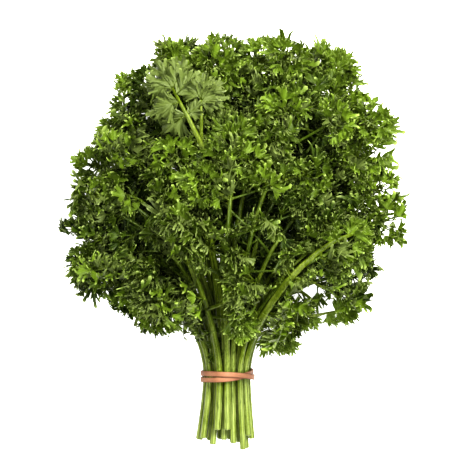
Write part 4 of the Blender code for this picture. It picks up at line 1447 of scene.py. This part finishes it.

# %% [markdown]
# ### Cut ends
#
# A knife leaves a pale, slightly domed face on each stem. A flat cap would do from above, but from low
# down one looks straight at them.

# %% Cut faces
# Rings of the dome: share of the stem's radius, and how far out of the cut.
DOME = ((0.5, 0.36), (0.85, 0.2), (0.99, -0.1))
DOME_TOP = 0.42
parts = []
for stem in stems:
    cut = stem.lengths[0]
    end, along = on_line(stem, cut)
    reach = stem_radius(stem, cut) * CUT_TAPER
    end[2] = max(end[2], FLOOR + 0.5 * reach)
    side = unit(np.cross(along, (0.0, 0.0, 1.0)))
    other = np.cross(along, side)
    n = 2 * RIDGES
    rows = [end - DOME_TOP * along]
    for share, out in DOME:
        rows += [end - out * along + share * reach * (cos(a) * side + sin(a) * other)
                 for a in (pi * k / RIDGES for k in range(n))]
    faces = [(0, 1 + (k + 1) % n, 1 + k) for k in range(n)] + wrap_faces(len(DOME), n, 1)
    parts.append((np.array(rows), np.array(faces)))
cut_ends = mesh_piece("cut_ends", parts, cut_pale, "cut_stem_end")
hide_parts(*[f"leafy_stem_{k:02d}" for k in range(1, len(stems) + 1)])
print("cut faces:", len(stems))

# %% [markdown]
# ## The rubber band
#
# One flat loop of salmon rubber goes twice round the stems and crosses itself on one side. The packed
# band is a strip of sixty-eight short straight runs. A bevelled curve could follow it, but would twist
# at the crossing, so this strip is swept station by station, with rounded edges.

# %% Line of the band
STATIONS = 68
CROSS_AT = radians(52.0)
RISE_HALF = 1.2


def band_line():
    """Stations (point, outward direction) along both turns."""
    ring = []
    for stem in stems:
        for y in (-4.0, 0.0, 4.0):
            p, _ = on_line(stem, y)
            for a in (2.0 * pi * k / 24 for k in range(24)):
                ring.append((p[0] + stem.base * cos(a), p[2] - TIE_HEIGHT + stem.base * sin(a)))
    # Reach of the tight wrap, from the support lines of everything inside.
    turns = np.radians(np.arange(0, 360, 5))
    support = (np.array(ring) @ np.stack([np.cos(turns), np.sin(turns)])).max(axis=0)
    wrap = np.array([min(far / cos(t - turn) for far, turn in zip(support, turns) if cos(t - turn) > 0.5)
                     for t in turns])
    wrap = (np.roll(wrap, 1) + 2.0 * wrap + np.roll(wrap, -1)) / 4.0
    stations = []
    for k in range(STATIONS):
        t = 4.0 * pi * k / STATIONS
        place = CROSS_AT + pi + t
        reach = float(np.interp(place % (2 * pi), np.append(turns, 2 * pi), np.append(wrap, wrap[0])))
        apart = tanh(3.0 * cos(t / 2.0)) / tanh(3.0)
        off = abs(t - 3.0 * pi)
        rise = (BAND_THICKNESS + 0.45) * smooth(1.0 - (off - 0.62) / 0.55) if off < RISE_HALF else 0.0
        out = np.array([cos(place), 0.0, sin(place)])
        y = 2.05 * apart + 0.6 * cos(place)
        radius = reach + BAND_GAP + 0.5 * BAND_THICKNESS + 0.12 + rise
        stations.append((np.array([0.0, y, TIE_HEIGHT]) + radius * out, out))
    return stations


# %% Strip along the line
SECTION_CORNERS = 16


def band_strip(stations, steps):
    """A strip with a rounded section along a smooth closed curve through the stations."""
    count = len(stations)
    places, outs = zip(*stations)
    w, t, n = BAND_WIDTH / 2, BAND_THICKNESS / 2, SECTION_CORNERS
    section = [(w * copysign(abs(cos(a)) ** 0.45, cos(a)), t * copysign(abs(sin(a)) ** 0.7, sin(a)))
               for a in (2 * pi * k / n for k in range(n))]
    verts = []
    for k in range(count * steps):
        i, f = divmod(k / steps, 1.0)
        i = int(i)
        # The curve between two stations is a cubic of the share f of the way from one to the next.
        c = [places[(i + j - 1) % count] for j in range(4)]
        once = c[2] - c[0]
        twice = 2 * c[0] - 5 * c[1] + 4 * c[2] - c[3]
        thrice = 3 * c[1] - c[0] - 3 * c[2] + c[3]
        p = 0.5 * (2 * c[1] + once * f + twice * f * f + thrice * f ** 3)
        along = unit(0.5 * (once + 2 * twice * f + 3 * thrice * f * f))
        out = unit(outs[i] * (1 - f) + outs[(i + 1) % count] * f)
        across = unit(np.cross(along, out))
        up = np.cross(across, along)
        pull = 1.0 + 0.05 * sin(k / 9.0) + 0.04 * sin(k / 23.0)
        verts += [p + pull * a * across + b / pull * up for a, b in section]
    rows = count * steps
    middle = np.tile([1.0 - abs(a / w) ** 4 for a, _ in section], rows)
    return np.array(verts), np.array(wrap_faces(rows + 1, n)) % (rows * n), middle


strip = band_strip(band_line(), 4)
band = mesh_piece("wound_band", [strip], rubber, "band_rubber", "middle")
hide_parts("rubber_band")
print("band triangles:", len(strip[1]))

# %% [markdown]
# ## The end
#
# The grown bunch must stay in the imported one's box, apart from what thin leaf edges may stand proud.

# %% Finish
bpy.context.view_layer.update()
